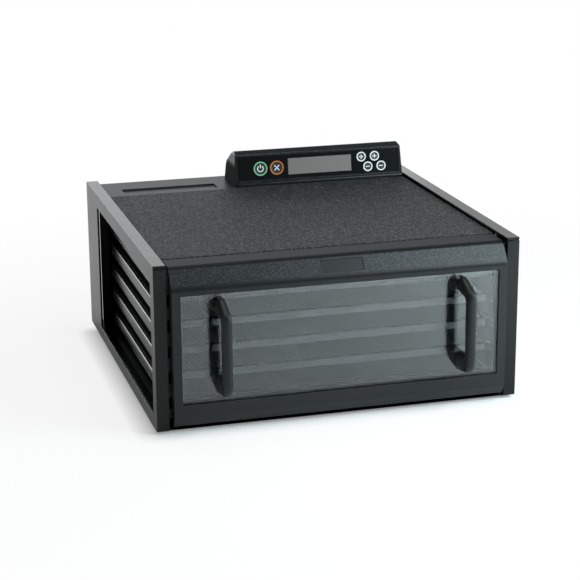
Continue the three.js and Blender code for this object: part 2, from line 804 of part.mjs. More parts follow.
// Partition with the fan's ring, and the arms that carry the motor behind it
function fanPanel() {
  const holeRadius = fanRadius + fanTipGap
  const plate = box(
    [-compartmentHalfWidth, compartmentHalfWidth], [fanPanelY, fanPanelBackY],
    [floorTopZ + seat, roofUnderZ - seat])
  const around = (geometry) => geometry.translate(0, 0, fanCentreZ)
  const ring = around(rodAlongY(holeRadius + fanRingWall, [fanPanelY, fanPanelBackY + fanRingLength], 32))
  const hole = around(rodAlongY(holeRadius, [0, fanPanelBackY + fanRingLength + cutPast], 32))
  const cupRadius = motorRadius + seat
  const cupFrontY = motorY + bracketArmThickness
  const cup = around(cut(
    rodAlongY(cupRadius + bracketRingWall, [cupFrontY, cupFrontY + bracketRingLength], 24),
    rodAlongY(cupRadius, [0, coverY], 24)))
  const reach = holeRadius + 2 * fanRingWall + bracketArmThickness
  const arms = range(bracketArmCount).map((i) => {
    const arm = join(
      box(
        [-bracketArmWidth / 2, bracketArmWidth / 2], [cupFrontY, cupFrontY + bracketArmThickness],
        [cupRadius + bracketRingWall / 2, reach]),
      box(
        [-bracketArmWidth / 2, bracketArmWidth / 2],
        [fanPanelY + fanPanelThickness / 2, cupFrontY + bracketArmThickness],
        [reach - bracketArmThickness, reach]))
    return around(arm.rotateY((i * 2 * Math.PI) / bracketArmCount))
  })
  return join(cut(join(plate, ring), hole), cup, ...arms)
}

function fanMotor() {
  const rearY = motorY + motorLength
  const shell = turned([
    [0, motorY],
    [motorBossRadius, motorY],
    [motorBossRadius, motorY + motorBossLength],
    [motorRadius, motorY + motorBossLength],
    [motorRadius, rearY - motorEdge],
    [motorRadius - motorEdge, rearY],
    [0, rearY],
  ], 24)
  const bore = rodAlongY(shaftRadius + running, [0, rearY - motorBoreFloor], 16)
  return cut(shell, bore).translate(0, 0, fanCentreZ)
}

function fanShaft() {
  const rearY = motorY + motorLength - motorBoreFloor - seat
  return rodAlongY(shaftRadius, [shaftFrontY, rearY], 16).translate(0, 0, fanCentreZ)
}

// One blade: a thin plate whose pitch and chord ease from root to tip, wrapped round the shaft's axis
function fanBladePlate(angle) {
  const spanSteps = 3
  const chordSteps = 3
  const middleY = hubFrontY + hubLength / 2
  const { lerp, degToRad } = THREE.MathUtils
  const surface = (side) => (i, j) => {
    const t = i / spanSteps
    const radius = lerp(hubRadius - bladeThickness, fanRadius, t)
    const pitch = degToRad(lerp(bladeRootPitch, bladeTipPitch, t))
    const across = lerp(bladeRootChord, bladeTipChord, t) * (j / chordSteps - 0.5)
    const around = angle + (across * Math.cos(pitch)) / radius
    const camber = bladeCamber * (1 - (2 * j / chordSteps - 1) ** 2)
    const y = middleY + across * Math.sin(pitch) + camber + (side * bladeThickness) / 2
    return [radius * Math.sin(around), y, radius * Math.cos(around)]
  }
  return solidBetween(surface(1), surface(-1), spanSteps + 1, chordSteps + 1)
}

function fanBlade() {
  const hub = turned([
    [0, hubFrontY],
    [hubRadius - hubChamfer, hubFrontY],
    [hubRadius, hubFrontY + hubChamfer],
    [hubRadius, hubFrontY + hubLength],
    [0, hubFrontY + hubLength],
  ], 24)
  const blades = range(bladeCount).map((i) => fanBladePlate((i * 2 * Math.PI) / bladeCount))
  const bore = rodAlongY(shaftRadius + seat, [0, coverY], 16)
  return cut(join(hub, ...blades), bore).translate(0, 0, fanCentreZ)
}

// Mica ring on the fan panel, with notched tabs that the coil lies in
function heaterFrame() {
  const inner = coilRingRadius - micaRingHalfWidth
  const outer = coilRingRadius + micaRingHalfWidth
  const ring = cut(
    rodAlongY(outer, [micaRingY, micaRingY + micaThickness], 24), rodAlongY(inner, [0, coverY], 24))
  const notchRadius = coilRadius + coilWireRadius * 1.5 + 2 * seat
  const tabs = range(micaTabCount).map((i) => {
    const plate = outline([
      [coilY - coilRadius, inner],
      [micaRingY + micaThickness / 2, inner],
      [micaRingY + micaThickness / 2, outer],
      [coilY - coilRadius, outer],
    ])
    const notch = join(
      rodAlongX(notchRadius, [-micaThickness, micaThickness], 8).translate(0, coilY, coilRingRadius),
      box(
        [-micaThickness, micaThickness], [coilY - 3 * coilRadius, coilY],
        [coilRingRadius - notchRadius, coilRingRadius + notchRadius]))
    return cut(alongX(plate, [-micaThickness / 2, micaThickness / 2]), notch)
      .rotateY(((i + 0.5) * 2 * Math.PI) / micaTabCount)
  })
  return join(ring, ...tabs).translate(0, 0, fanCentreZ)
}

class RingCoil extends THREE.Curve {
  getPoint(t, target = new THREE.Vector3()) {
    const sweep = THREE.MathUtils.degToRad(coilSweep)
    const around = Math.PI + (Math.PI * 2 - sweep) / 2 + t * sweep
    const turn = t * coilTurns * 2 * Math.PI
    const radius = coilRingRadius + coilRadius * Math.cos(turn)
    return target.set(radius * Math.sin(around), coilRadius * Math.sin(turn), radius * Math.cos(around))
  }
}

function heaterCoil() {
  const stepsPerTurn = 6
  const sides = 4
  const wire = outline(range(sides).map((i) => {
    const angle = (i * 2 * Math.PI) / sides
    return [coilWireRadius * Math.cos(angle), coilWireRadius * Math.sin(angle)]
  }))
  const coil = new THREE.ExtrudeGeometry(wire, {
    steps: coilTurns * stepsPerTurn, extrudePath: new RingCoil(), bevelEnabled: false,
  })
  return coil.translate(0, coilY, fanCentreZ)
}

function thermalCutout() {
  const backY = fanPanelY - seat
  const frontY = backY - cutoutHeight
  const can = rodAlongY(cutoutRadius, [frontY, backY], 16)
  const blade = (x) => box(
    [x - cutoutBladeWidth / 2, x + cutoutBladeWidth / 2],
    [frontY - cutoutBladeLength, frontY + cutPast],
    [-cutoutBladeThickness / 2, cutoutBladeThickness / 2])
  return join(can, blade(-cutoutBladeOffset), blade(cutoutBladeOffset)).translate(cutoutX, 0, cutoutZ)
}

function temperatureProbe() {
  const backY = fanPanelY - seat
  const tip = rodAlongY(probeRadius, [baffleY - probeReach, backY], 12)
  const collar = rodAlongY(2 * probeRadius, [backY - probeCollarLength, backY], 12)
  return join(tip, collar).translate(probeX, 0, probeZ)
}

function rearCover() {
  const through = [coverY - cutPast, coverY + coverThickness + cutPast]
  const slots = inletRingInsets.flatMap((inset) => range(inletSlotCount).map((i) => {
    const radius = fanRadius - inset
    return box(
      [-inletSlotWidth / 2, inletSlotWidth / 2], through,
      [radius - inletSlotLength / 2, radius + inletSlotLength / 2])
      .rotateY((i * 2 * Math.PI) / inletSlotCount)
      .translate(0, 0, fanCentreZ)
  }))
  const halfX = powerInletWidth / 2 + seat
  const halfZ = powerInletHeight / 2 + seat
  const socket = box(
    [powerInletX - halfX, powerInletX + halfX], through, [powerInletZ - halfZ, powerInletZ + halfZ])
  const plate = alongY(
    rectangle([-sillX, sillX], [caseFloorZ, roofZ], 2), [coverY, coverY + coverThickness])
  return cut(plate, socket, ...slots)
}

// Socket for a detachable lead: a flanged cup with three blades standing in it
function powerInlet() {
  const outerY = coverY + coverThickness + seat
  const rearY = outerY + powerInletWall
  const halfX = powerInletWidth / 2
  const halfZ = powerInletHeight / 2
  const cup = box([-halfX, halfX], [rearY - powerInletDepth, rearY], [-halfZ, halfZ])
  const flange = box(
    [-halfX - powerInletFlangeSide, halfX + powerInletFlangeSide], [outerY, rearY],
    [-halfZ - powerInletFlangeTop, halfZ + powerInletFlangeTop])
  const mouthX = halfX - powerInletWall
  const mouthZ = halfZ - powerInletWall
  const mouth = alongY(outline([
    [-mouthX, -mouthZ],
    [mouthX, -mouthZ],
    [mouthX, mouthZ - powerInletKeyCorner],
    [mouthX - powerInletKeyCorner, mouthZ],
    [-mouthX + powerInletKeyCorner, mouthZ],
    [-mouthX, mouthZ - powerInletKeyCorner],
  ]), [rearY - powerInletDepth + powerInletWall, rearY + cutPast])
  const blade = (x, z) => box(
    [x - powerInletBladeThickness / 2, x + powerInletBladeThickness / 2],
    [rearY - powerInletDepth + powerInletWall / 2, rearY - powerInletBladeSet],
    [z - powerInletBladeHeight / 2, z + powerInletBladeHeight / 2])
  const blades = [-1, 0, 1].map((side) =>
    blade(side * powerInletBladeSpread, side ? -powerInletBladeRise : powerInletBladeRise))
  return join(cut(join(cup, flange), mouth), ...blades).translate(powerInletX, 0, powerInletZ)
}

// ---------------------------------------------------------------------------------------------------
// Door, hung on two pins at the rear edge of its top strip
// ---------------------------------------------------------------------------------------------------

function doorFrame() {
  const stripUnderZ = roofZ - stripThickness
  const profile = outline([
    [doorBackY, doorBottomZ],
    [doorFrontY + doorChamferDepth, doorBottomZ, 1],
    [doorFrontY, doorBottomZ + doorChamferHeight, 2],
    [doorFrontY, headerBottomZ, 3],
    [headerTopY, roofZ, 4],
    [hingeBehindFront + knuckleRadius, roofZ, knuckleRadius],
    [hingeBehindFront + knuckleRadius, stripUnderZ, knuckleRadius],
    [doorBackY, stripUnderZ],
  ])
  const slab = alongX(profile, [-doorHalfWidth, doorHalfWidth])
  const behind = doorBackY + cutPast
  const window = box(
    [-windowHalfWidth, windowHalfWidth], [doorFrontY - cutPast, behind], [windowBottomZ, windowTopZ])
  const rebateHalf = windowHalfWidth + paneRebate
  const rebate = box(
    [-rebateHalf, rebateHalf], [paneFrontY - seat, behind],
    [windowBottomZ - paneRebate, windowTopZ + paneRebate])
  const pocket = box(
    [-windowHalfWidth, windowHalfWidth], [doorBackY - headerPocketDepth, behind],
    [headerBottomZ - seat, headerBottomZ - seat + headerPocketHeight])
  const bore =
    rodAlongX(hingePinRadius + running, [doorHalfWidth - hingePinReach, doorHalfWidth + cutPast])
      .translate(0, hingeBehindFront, hingeZ)
  return cut(slab, window, rebate, pocket, badgeRecess(), bore, mirrored(bore))
}

// Shallow bare place in the middle of the header's slope
function badgeRecess() {
  const rise = roofZ - headerBottomZ
  const run = headerTopY - doorFrontY
  return box(
    [-badgeWidth / 2, badgeWidth / 2], [-cutPast, badgeDepth], [-badgeHeight / 2, badgeHeight / 2])
    .rotateX(-Math.atan2(run, rise))
    .translate(0, doorFrontY + run / 2, headerBottomZ + rise / 2)
}

function doorWindow() {
  const halfWidth = windowHalfWidth + paneRebate - seat
  const pane = box(
    [-halfWidth, halfWidth], [paneFrontY, paneBackY],
    [windowBottomZ - paneRebate + seat, windowTopZ + paneRebate - seat])
  const holes = handleScrewPlaces().map(([x, z]) =>
    rodAlongY(screwRadius + running, [paneFrontY - cutPast, paneBackY + cutPast], 12)
      .translate(x, 0, z))
  return cut(pane, ...holes)
}

function doorGasket() {
  const halfWidth = windowHalfWidth + paneRebate - seat
  const low = windowBottomZ - paneRebate + seat
  const high = windowTopZ + paneRebate - seat
  const ring = rectangle([-halfWidth, halfWidth], [low, high])
  ring.holes.push(rectangle(
    [-halfWidth + gasketWidth, halfWidth - gasketWidth], [low + gasketWidth, high - gasketWidth]))
  return alongY(ring, [paneBackY + seat, paneBackY + seat + gasketThickness])
}

// Bow pull: a side outline with the finger gap open towards the pane, rounded along its edges
function handle() {
  const back = paneFrontY - seat
  const trim = 4                  // drawn this far into the pane and cut off there
  const beyond = back + trim
  const flare = (handleFootHalf - handleChin) / handleProjection
  const gripBackY = handleFrontY + handleGripDepth
  const side = outline([
    [beyond, handleFootHalf],
    [paneFrontY - handleShoulder, handleFootHalf, handleShoulderRadius],
    [handleFrontY, handleCrown, handleKinkRadius],
    [handleFrontY, -handleChin, handleChinRadius],
    [beyond, -handleFootHalf - trim * flare],
    [beyond, -handleGapBottom],
    [gripBackY, -handleGapBottom, handleGapLowerRadius],
    [gripBackY, handleGapTop - handleGapTaper, handleGapUpperRadius],
    [beyond, handleGapTop],
  ])
  const half = handleWidth / 2 - handleEdge
  const pull = alongX(side, [-half, half], {
    bevelEnabled: true, bevelThickness: handleEdge, bevelSize: handleEdge, bevelOffset: -handleEdge,
    bevelSegments: 2, curveSegments: 3,
  })
  const pane = box(
    [-handleWidth, handleWidth], [back, beyond + cutPast], [-2 * handleFootHalf, 2 * handleFootHalf])
  const holes = [-1, 1].map((end) =>
    rodAlongY(screwRadius + running, [back - screwReach - cutPast, back + cutPast], 12)
      .translate(0, 0, end * handleScrewOffset))
  return cut(pull, pane, ...holes)
}

function handleScrewPlaces() {
  return [-1, 1].flatMap((side) => [-1, 1].map((end) =>
    [side * handleX, handleCentreZ + end * handleScrewOffset]))
}

function handleScrew() {
  const headY = paneBackY + seat
  return turned([
    [0, paneFrontY - screwReach],
    [screwRadius, paneFrontY - screwReach],
    [screwRadius, headY],
    [screwHeadRadius, headY],
    [screwHeadRadius - screwHeadEdge, headY + screwHeadHeight],
    [0, headY + screwHeadHeight],
  ], 12)
}

// Pin from the side frame's boss into the door's end, with a collar in the gap between them
function hingePin() {
  return turned([
    [0, doorHalfWidth - hingePinReach + seat],
    [hingePinRadius, doorHalfWidth - hingePinReach + seat],
    [hingePinRadius, doorHalfWidth + seat],
    [hingeCollarRadius, doorHalfWidth + seat],
    [hingeCollarRadius, frameInnerX - seat],
    [hingePinRadius, frameInnerX - seat],
    [hingePinRadius, frameInnerX + hingeBossDepth - seat],
    [0, frameInnerX + hingeBossDepth - seat],
  ], 12).rotateZ(-Math.PI / 2).translate(0, hingeBehindFront, hingeZ)
}

// ---------------------------------------------------------------------------------------------------
// Control head. Pieces on the raked front are built upright, with y = 0 on its face and z = 0 at its foot.
// ---------------------------------------------------------------------------------------------------

const onFace = new THREE.Matrix4()
  .makeRotationX(-headTilt)
  .setPosition(headLeftX, headFrontY, headBaseZ)

// A point of the head's side profile: a height up the raked front and a depth behind it
function behindFace(height, depth) {
  const point = new THREE.Vector3(0, depth, height).applyMatrix4(onFace)
  return [point.y, point.z]
}

function controlHousing() {
  const rearY = headFrontY + headDepth
  const [browY, browZ] = behindFace(headFaceHeight, 0)
  const [topY, topZ] = [browY + headBrowDepth, browZ + headBrowRise]
  const shoulder = [rearY - headRearInset, headBaseZ + headRearHeight]
  const profile = outline([
    [headFrontY - headLipProjection, headBaseZ],
    [rearY, headBaseZ],
    [...shoulder, headRearEdge],
    [topY, topZ, headTopEdge],
    [browY, browZ, headBrowEdge],
    behindFace(headLipHeight + headLipSlope, 0),
    [headFrontY - headLipProjection + headLipSlant, headBaseZ + headLipHeight, headLipEdge],
  ])
  const slope = (topZ - shoulder[1]) / (shoulder[0] - topY)
  const drop = headWall * Math.hypot(1, slope)
  const roofAt = (y) => topZ - (y - topY) * slope - drop
  const hollow = outline([
    [behindFace(0, headFrontWall)[0], headBaseZ - cutPast],
    [rearY - headWall, headBaseZ - cutPast],
    [shoulder[0] - headWall / 2, roofAt(shoulder[0] - headWall / 2)],
    [topY, roofAt(topY)],
    behindFace(headFaceHeight - headWall, headFrontWall),
  ])
  const endWall = headWall + headEndDraft
  const trim = headEndTrim()
  const shell = cut(
    alongX(profile, [headLeftX, headRightX]),
    alongX(hollow, [headLeftX + endWall, headRightX - endWall]),
    trim,
    mirrored(trim).translate(headLeftX + headRightX, 0, 0))
  const recess = box(
    [headCheek, headWidth - headCheek], [-headLipProjection, recessDepth],
    [overlayBottomZ - seat, overlayTopZ + seat])
  const lipEnd = box(
    [-cutPast, headLipInset], [-2 * headLipProjection, 0],
    [-cutPast, headLipHeight + headLipSlope + cutPast])
  const display = box(
    [lcdX + lcdLedge, lcdX + lcdWidth - lcdLedge], [0, headFrontWall + cutPast],
    [lcdZ + lcdLedge, lcdZ + lcdHeight - lcdLedge])
  const holes = buttons.map(([, x, z, radius]) =>
    rodAlongY(radius + running, [-cutPast, headFrontWall + cutPast], 16).translate(x, 0, z))
  const posts = boardPostPlaces().map(([x, z]) =>
    rodAlongY(boardPostRadius, [headFrontWall - cutPast, boardY - seat], 12).translate(x, 0, z))
  const place = (geometry) => geometry.applyMatrix4(onFace)
  return join(cut(shell, ...[recess, lipEnd, display, ...holes].map(place)), ...posts.map(place))
}

// What the lean of the head's right end takes off: slight beside the face, more along the brow
function headEndTrim() {
  const [, browZ] = behindFace(headFaceHeight, 0)
  const topZ = browZ + headBrowRise
  const outside = headRightX + cutPast
  const slant = outline([
    [headRightX, headBaseZ],
    [outside, headBaseZ],
    [outside, topZ + cutPast],
    [headRightX - headEndDraft - headEndChamfer, topZ + cutPast],
    [headRightX - headEndDraft, browZ],
  ])
  return alongY(slant, [headFrontY - 2 * headLipProjection, headFrontY + headDepth + cutPast])
}

function boardPostPlaces() {
  const margin = 2 * boardPostRadius
  const left = boardMargin + margin
  const right = headWidth - boardMargin - margin
  const low = boardBottomZ + margin
  const high = boardBottomZ + boardHeight - margin
  return [[left, low], [left, high], [lcdX + lcdWidth + 1.5 * margin, low], [right, high]]
}

function controlOverlay() {
  const film = rectangle([headCheek + seat, headWidth - headCheek - seat], [overlayBottomZ, overlayTopZ])
  film.holes.push(rectangle([lcdX, lcdX + lcdWidth], [lcdZ, lcdZ + lcdHeight]))
  for (const [, x, z, radius] of buttons) {
    const hole = new THREE.Path()
    hole.absarc(x, z, radius + running, 0, 2 * Math.PI)
    film.holes.push(hole)
  }
  const plate = new THREE.ExtrudeGeometry(film, {
    depth: overlayThickness, bevelEnabled: false, curveSegments: 8,
  })
  return plate.applyMatrix4(new THREE.Matrix4().makeBasis(X, Z, Y.clone().negate()))
    .translate(0, overlayBackY, 0)
}

function displayWindow() {
  return box(
    [lcdX + seat, lcdX + lcdWidth - seat], [overlayInset + displaySetback, overlayBackY],
    [lcdZ + seat, lcdZ + lcdHeight - seat])
}

function lcdModule() {
  const front = headFrontWall + seat
  return box(
    [lcdX, lcdX + lcdWidth], [front, front + lcdModuleDepth],
    [lcdZ - lcdModuleMargin, lcdZ + lcdHeight + lcdModuleMargin])
}

function controlBoard() {
  const board = box(
    [boardMargin, headWidth - boardMargin], [boardY, boardY + boardThickness],
    [boardBottomZ, boardBottomZ + boardHeight])
  const half = switchSize / 2
  const switches = buttons.map(([, x, z]) =>
    box([x - half, x + half], [boardY - switchHeight, boardY + boardThickness / 2], [z - half, z + half]))
  return join(board, ...switches)
}

function button(radius) {
  const frontY = overlayInset - buttonProud
  const flangeY = headFrontWall + seat
  const stemEndY = boardY - switchHeight - seat - buttonTravel
  return turned([
    [0, frontY],
    [radius - buttonEdge, frontY],
    [radius, frontY + buttonEdge],
    [radius, flangeY],
    [radius + buttonFlange, flangeY],
    [radius + buttonFlange, flangeY + buttonFlangeThickness],
    [buttonStemRadius, flangeY + buttonFlangeThickness],
    [buttonStemRadius, stemEndY],
    [0, stemEndY],
  ], radius < largeButtonRadius ? 12 : 16)
}

// ---------------------------------------------------------------------------------------------------
// Assembly
// ---------------------------------------------------------------------------------------------------

function at(part, x, y, z) {
  part.position.set(x, y, z)
  return part
}

function sideFrames() {
  return [
    mesh('side_frame_left', mirrored(sideFrame()), greyFrame),
    mesh('side_frame_right', sideFrame(), greyFrame),
  ]
}

function feet() {
  return [['front', footFrontY], ['rear', footRearY]].flatMap(([end, y]) => [
    at(mesh(`foot_${end}_left`, foot(), rubberFoot), -footX, y, 0),
    at(mesh(`foot_${end}_right`, foot(), rubberFoot), footX, y, 0),
  ])
}

function trays() {
  const trayGeometry = tray()
  const screenGeometry = trayScreen()
  return range(trayCount).flatMap((k) => {
    const z = firstTrayZ + k * trayPitch
    return [
      at(mesh(`tray_${k + 1}`, trayGeometry, trayPlastic), 0, 0, z),
      at(mesh(`tray_screen_${k + 1}`, screenGeometry, screenPlastic), 0, 0, z),
    ]
  })
}

function rear() {
  return [
    mesh('air_baffle', airBaffle(), blackCase),
    mesh('fan_panel', fanPanel(), zincSteel),
    mesh('fan_motor', fanMotor(), motorSteel),
    mesh('fan_shaft', fanShaft(), motorSteel),
    mesh('fan_blade', fanBlade(), aluminiumBlade),
    mesh('heater_frame', heaterFrame(), micaSheet),
    mesh('heater_coil', heaterCoil(), coilAlloy),
    mesh('thermal_cutout', thermalCutout(), zincSteel),
    mesh('temperature_probe', temperatureProbe(), zincSteel),
    mesh('rear_cover', rearCover(), blackCase),
    mesh('power_inlet', powerInlet(), blackCase),
  ]
}

function door() {
  return [
    mesh('door_frame', doorFrame(), glossDoor),
    mesh('door_window', doorWindow(), clearPane),
    mesh('door_gasket', doorGasket(), siliconeSeal),
    at(mesh('handle_left', handle(), blackHandle), -handleX, 0, handleCentreZ),
    at(mesh('handle_right', handle(), blackHandle), handleX, 0, handleCentreZ),
    ...handleScrewPlaces().map(([x, z], i) =>
      at(mesh(`handle_screw_${i + 1}`, handleScrew(), zincSteel), x, 0, z)),
    mesh('hinge_pin_left', mirrored(hingePin()), zincSteel),
    mesh('hinge_pin_right', hingePin(), zincSteel),
  ]
}

function controlHead() {
  const finish = { button_start: greenKey, button_stop: orangeKey }
  const face = group(
    mesh('control_overlay', controlOverlay(), overlayFilm),
    mesh('display_window', displayWindow(), greyDisplay),
    mesh('lcd_module', lcdModule(), greyDisplay),
    mesh('control_board', controlBoard(), circuitBoard),
    buttons.map(([name, x, z, radius]) =>
      at(mesh(name, button(radius), finish[name] ?? whiteKey), x, 0, z)))
  face.applyMatrix4(onFace)
  return [mesh('control_housing', controlHousing(), blackCase), face]
}

const dehydrator = group(
  mesh('case_shell', caseShell(), blackCase),
  sideFrames(),
  mesh('top_panel', roof(), grainedRoof),
  feet(),
  trays(),
  rear(),
  door(),
  controlHead())
dehydrator.position.set(0, -(handleFrontY + frameDepth) / 2, footHeight)
dehydrator.updateMatrixWorld(true)

export default dehydrator
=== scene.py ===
"""Surfaces, finishes, lamps and camera of a five-tray food dehydrator.

Laid out as an add-on and run as a script. Everything is in metres, +Z up, and the door faces -Y.
"""

import json
import math

import bmesh
import bpy
import numpy as np
from mathutils import Matrix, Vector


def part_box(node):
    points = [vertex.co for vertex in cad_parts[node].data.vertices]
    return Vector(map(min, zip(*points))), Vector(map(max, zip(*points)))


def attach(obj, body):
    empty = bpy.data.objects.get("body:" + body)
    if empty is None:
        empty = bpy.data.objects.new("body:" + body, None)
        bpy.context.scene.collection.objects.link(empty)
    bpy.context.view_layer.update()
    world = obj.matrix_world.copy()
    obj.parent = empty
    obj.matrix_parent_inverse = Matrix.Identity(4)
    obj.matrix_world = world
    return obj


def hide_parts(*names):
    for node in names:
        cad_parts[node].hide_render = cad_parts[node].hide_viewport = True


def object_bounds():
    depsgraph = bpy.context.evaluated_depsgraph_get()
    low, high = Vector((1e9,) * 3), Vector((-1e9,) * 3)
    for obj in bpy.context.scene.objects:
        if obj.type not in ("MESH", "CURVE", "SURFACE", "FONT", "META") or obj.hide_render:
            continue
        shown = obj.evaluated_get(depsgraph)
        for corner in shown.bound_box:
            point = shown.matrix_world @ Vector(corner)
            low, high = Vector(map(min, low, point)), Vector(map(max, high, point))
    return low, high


bl_info = {
    "name": "Food Dehydrator Looks",
    "version": (1, 0, 0),
    "blender": (4, 5, 0),
    "location": "View3D > Sidebar > Dehydrator",
    "description": "Surfaces, finishes, lamps and camera of a five-tray food dehydrator",
    "category": "Object",
}

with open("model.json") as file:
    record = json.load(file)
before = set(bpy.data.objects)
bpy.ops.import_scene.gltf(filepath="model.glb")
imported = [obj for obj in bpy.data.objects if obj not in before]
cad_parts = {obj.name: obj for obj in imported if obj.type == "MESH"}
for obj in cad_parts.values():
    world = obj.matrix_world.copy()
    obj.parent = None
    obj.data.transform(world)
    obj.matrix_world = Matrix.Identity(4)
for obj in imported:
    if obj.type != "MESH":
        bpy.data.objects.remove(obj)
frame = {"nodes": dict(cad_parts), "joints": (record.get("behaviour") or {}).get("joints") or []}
CAD_BOX = [list(corner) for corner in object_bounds()]
NODES = frame["nodes"]
TRAYS = [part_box(f"tray_{k}") for k in range(1, 6)]
CASE_LOW, CASE_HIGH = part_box("case_shell")
FRAME_FRONT, FRAME_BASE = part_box("side_frame_right")[0].yz
DOOR_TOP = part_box("door_frame")[1].z
ROOF_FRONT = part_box("top_panel")[0].y
BAFFLE_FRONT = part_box("air_baffle")[0].y
HEAD_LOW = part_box("control_housing")[0]

SEAT = 0.0003  # clearance between pieces that bear on each other
LEDGE_EXTRA = 0.0017  # the flange under the roof is thicker than the walls by this
PLATE_SETBACK = 0.005  # the foot's lip stands this far ahead of the front plate
LIP_DEPTH = 0.006  # the foot's lip, front to back
LIP_HEIGHT = 0.005
SLOPE_FOOT = 0.0195  # the header's grained slope ends this far below the top of the door
SLOPE_TOP = 0.0006  # and begins this far below it
SLOPE_REAR = 0.004  # the slope lies ahead of this distance behind the side frames' front


def linear(text):
    """The linear colour of an sRGB hex value.
    Each channel c becomes ((c + 0.055) / 1.055) to the power 2.4, or c / 12.92 where it is very dark."""
    channels = [int(text[i : i + 2], 16) / 255 for i in (0, 2, 4)]
    return [c / 12.92 if c <= 0.04045 else ((c + 0.055) / 1.055) ** 2.4 for c in channels] + [1.0]


def shaded(tint, factor):
    """The colour with its channels multiplied, and none above 1."""
    return [min(1.0, c * factor) for c in tint[:3]] + [1.0]


def length(name, description, default, low=0.0):
    """A length property in metres."""
    return bpy.props.FloatProperty(
        name=name, description=description, default=default, min=low, unit="LENGTH", precision=5
    )


def colour(name, description, default):
    """A colour property from an sRGB hex value."""
    return bpy.props.FloatVectorProperty(
        name=name, description=description, default=linear(default), size=4, min=0, max=1, subtype="COLOR"
    )


# ----------------------------------------------------------------------------------------------------
# Sizes and colours
# ----------------------------------------------------------------------------------------------------


class CaseSizes(bpy.types.PropertyGroup):
    wall: length("Wall", "Thickness of the case's walls", 0.003)
    rib_setback: length("Rib setback", "Ribs stand this far inside the face of the sill", 0.0013)
    rib_depth: length("Rib depth", "How far a rib stands out of the wall", 0.0095)
    rib_draft: length("Rib draft", "Rise of a rib's sloping flank", 0.001)
    rib_rounding: length("Rib rounding", "Radius along a rib's crest", 0.0016)
    root_rounding: length("Root rounding", "Radius where a rib meets the wall", 0.0014)
    fade_length: length("Fade length", "The ribs sink into the wall over this length at the rear", 0.045)
    fade_past: length(
        "Fade past the baffle", "The ribs are gone this far behind the front of the air baffle", 0.028
    )
    sill_height: length("Sill height", "Height of the full-width foot of the walls", 0.0085)
    ledge_width: length("Ledge width", "Width of the flange under the roof", 0.0105)
    plate: length("Front plate", "Thickness of the plate that closes the grooves at the front", 0.003)
    plate_top: length("Plate top", "Top of the front plate, above the underside of the side frames", 0.1814)
    lip: length("Head's lip", "Height of the polished lip along the foot of the control head", 0.0055)
    channel_room: length("Channel room", "A tray's channel is open this far above and below the tray", 0.0009)


class HandleSizes(bpy.types.PropertyGroup):
    shoulder: length("Shoulder", "The upper arm runs level this far before it slants down", 0.006)
    shoulder_radius: length("Shoulder radius", "Rounding of the shoulder", 0.016)
    kink_radius: length("Kink radius", "Rounding where the upper arm meets the grip", 0.007)
    chin_radius: length("Chin radius", "Rounding of the lower end of the grip", 0.016)
    grip_depth: length("Grip depth", "Thickness of the grip, front to back", 0.013)
    grip_width: length("Grip width", "Thickness of the grip, side to side", 0.0118)
    crown_drop: length("Crown drop", "Upper end of the grip, below the top of the foot", 0.0123)
    chin_rise: length("Chin rise", "Lower end of the grip, above the bottom of the foot", 0.0065)
    upper_foot: length("Upper foot", "Height of the upper foot on the pane", 0.0182)
    lower_foot: length("Lower foot", "Height of the lower foot on the pane", 0.0236)
    gap_taper: length("Gap taper", "The finger gap is this much shorter at the grip", 0.003)
    roundness: bpy.props.FloatProperty(
        name="Roundness", description="Exponent of the section's superellipse: 2 is an ellipse",
        default=2.5, min=2,
    )


class ScreenSizes(bpy.types.PropertyGroup):
    pitch: length("Strand pitch", "Spacing of the strands of the tray screens", 0.0034)
    across: length("Cross strand", "Thickness of the upper strands, which run across", 0.0011)
    along: length("Long strand", "Thickness of the lower strands, which run front to back", 0.0013)
    margin: length("Margin", "Distance from the tray's outline to the ends of the strands", 0.0088)
    front_radius: length("Front radius", "Rounding of the front corners", 0.0015)
    rear_radius: length("Rear radius", "Rounding of the rear corners", 0.0165)


class DoorSizes(bpy.types.PropertyGroup):
    plate_half: length("Plate's half width", "Half the width of the bare plate on the header", 0.0255)
    plate_low: length("Plate's foot", "Lower edge of the plate, below the top of the door", 0.0178)
    plate_high: length("Plate's top", "Upper edge of the plate, below the top of the door", 0.0048)


class KeySizes(bpy.types.PropertyGroup):
    dish: length("Dish", "Depth of the hollow in a key's face", 0.0004)
    ring_width: length("Ring width", "Width of a key's coloured ring", 0.0016)
    print_height: length("Print height", "The rings and symbols stand this far proud", 0.00006)
    stroke: length("Stroke", "Width of a symbol's strokes", 0.0013)


class Finishes(bpy.types.PropertyGroup):
    frame_grey: colour("Frame grey", "Side frames", "121415")
    case_black: colour("Case black", "Ribbed case, cover and control head", "121416")
    roof_grey: colour("Roof grey", "Leather-grained roof", "202223")
    door_grey: colour("Door grey", "Door frame and its header", "121416")
    handle_black: colour("Handle black", "Bow handles", "0e1011")
    tray_grey: colour("Tray grey", "Trays", "1b1e20")
    screen_grey: colour("Screen grey", "Flexible screens on the trays", "6a7175")
    display: colour("Display", "Unlit display", "7a7472")
    overlay: colour("Overlay", "Film round the keys", "0d0f10")
    power_ring: colour("Power ring", "Ring of the power key", "82cf98")
    cancel_ring: colour("Cancel ring", "Ring of the cancel key", "d2712f")
    legend: colour("Legend", "Rings of the small keys and all symbols", "f4f6f8")


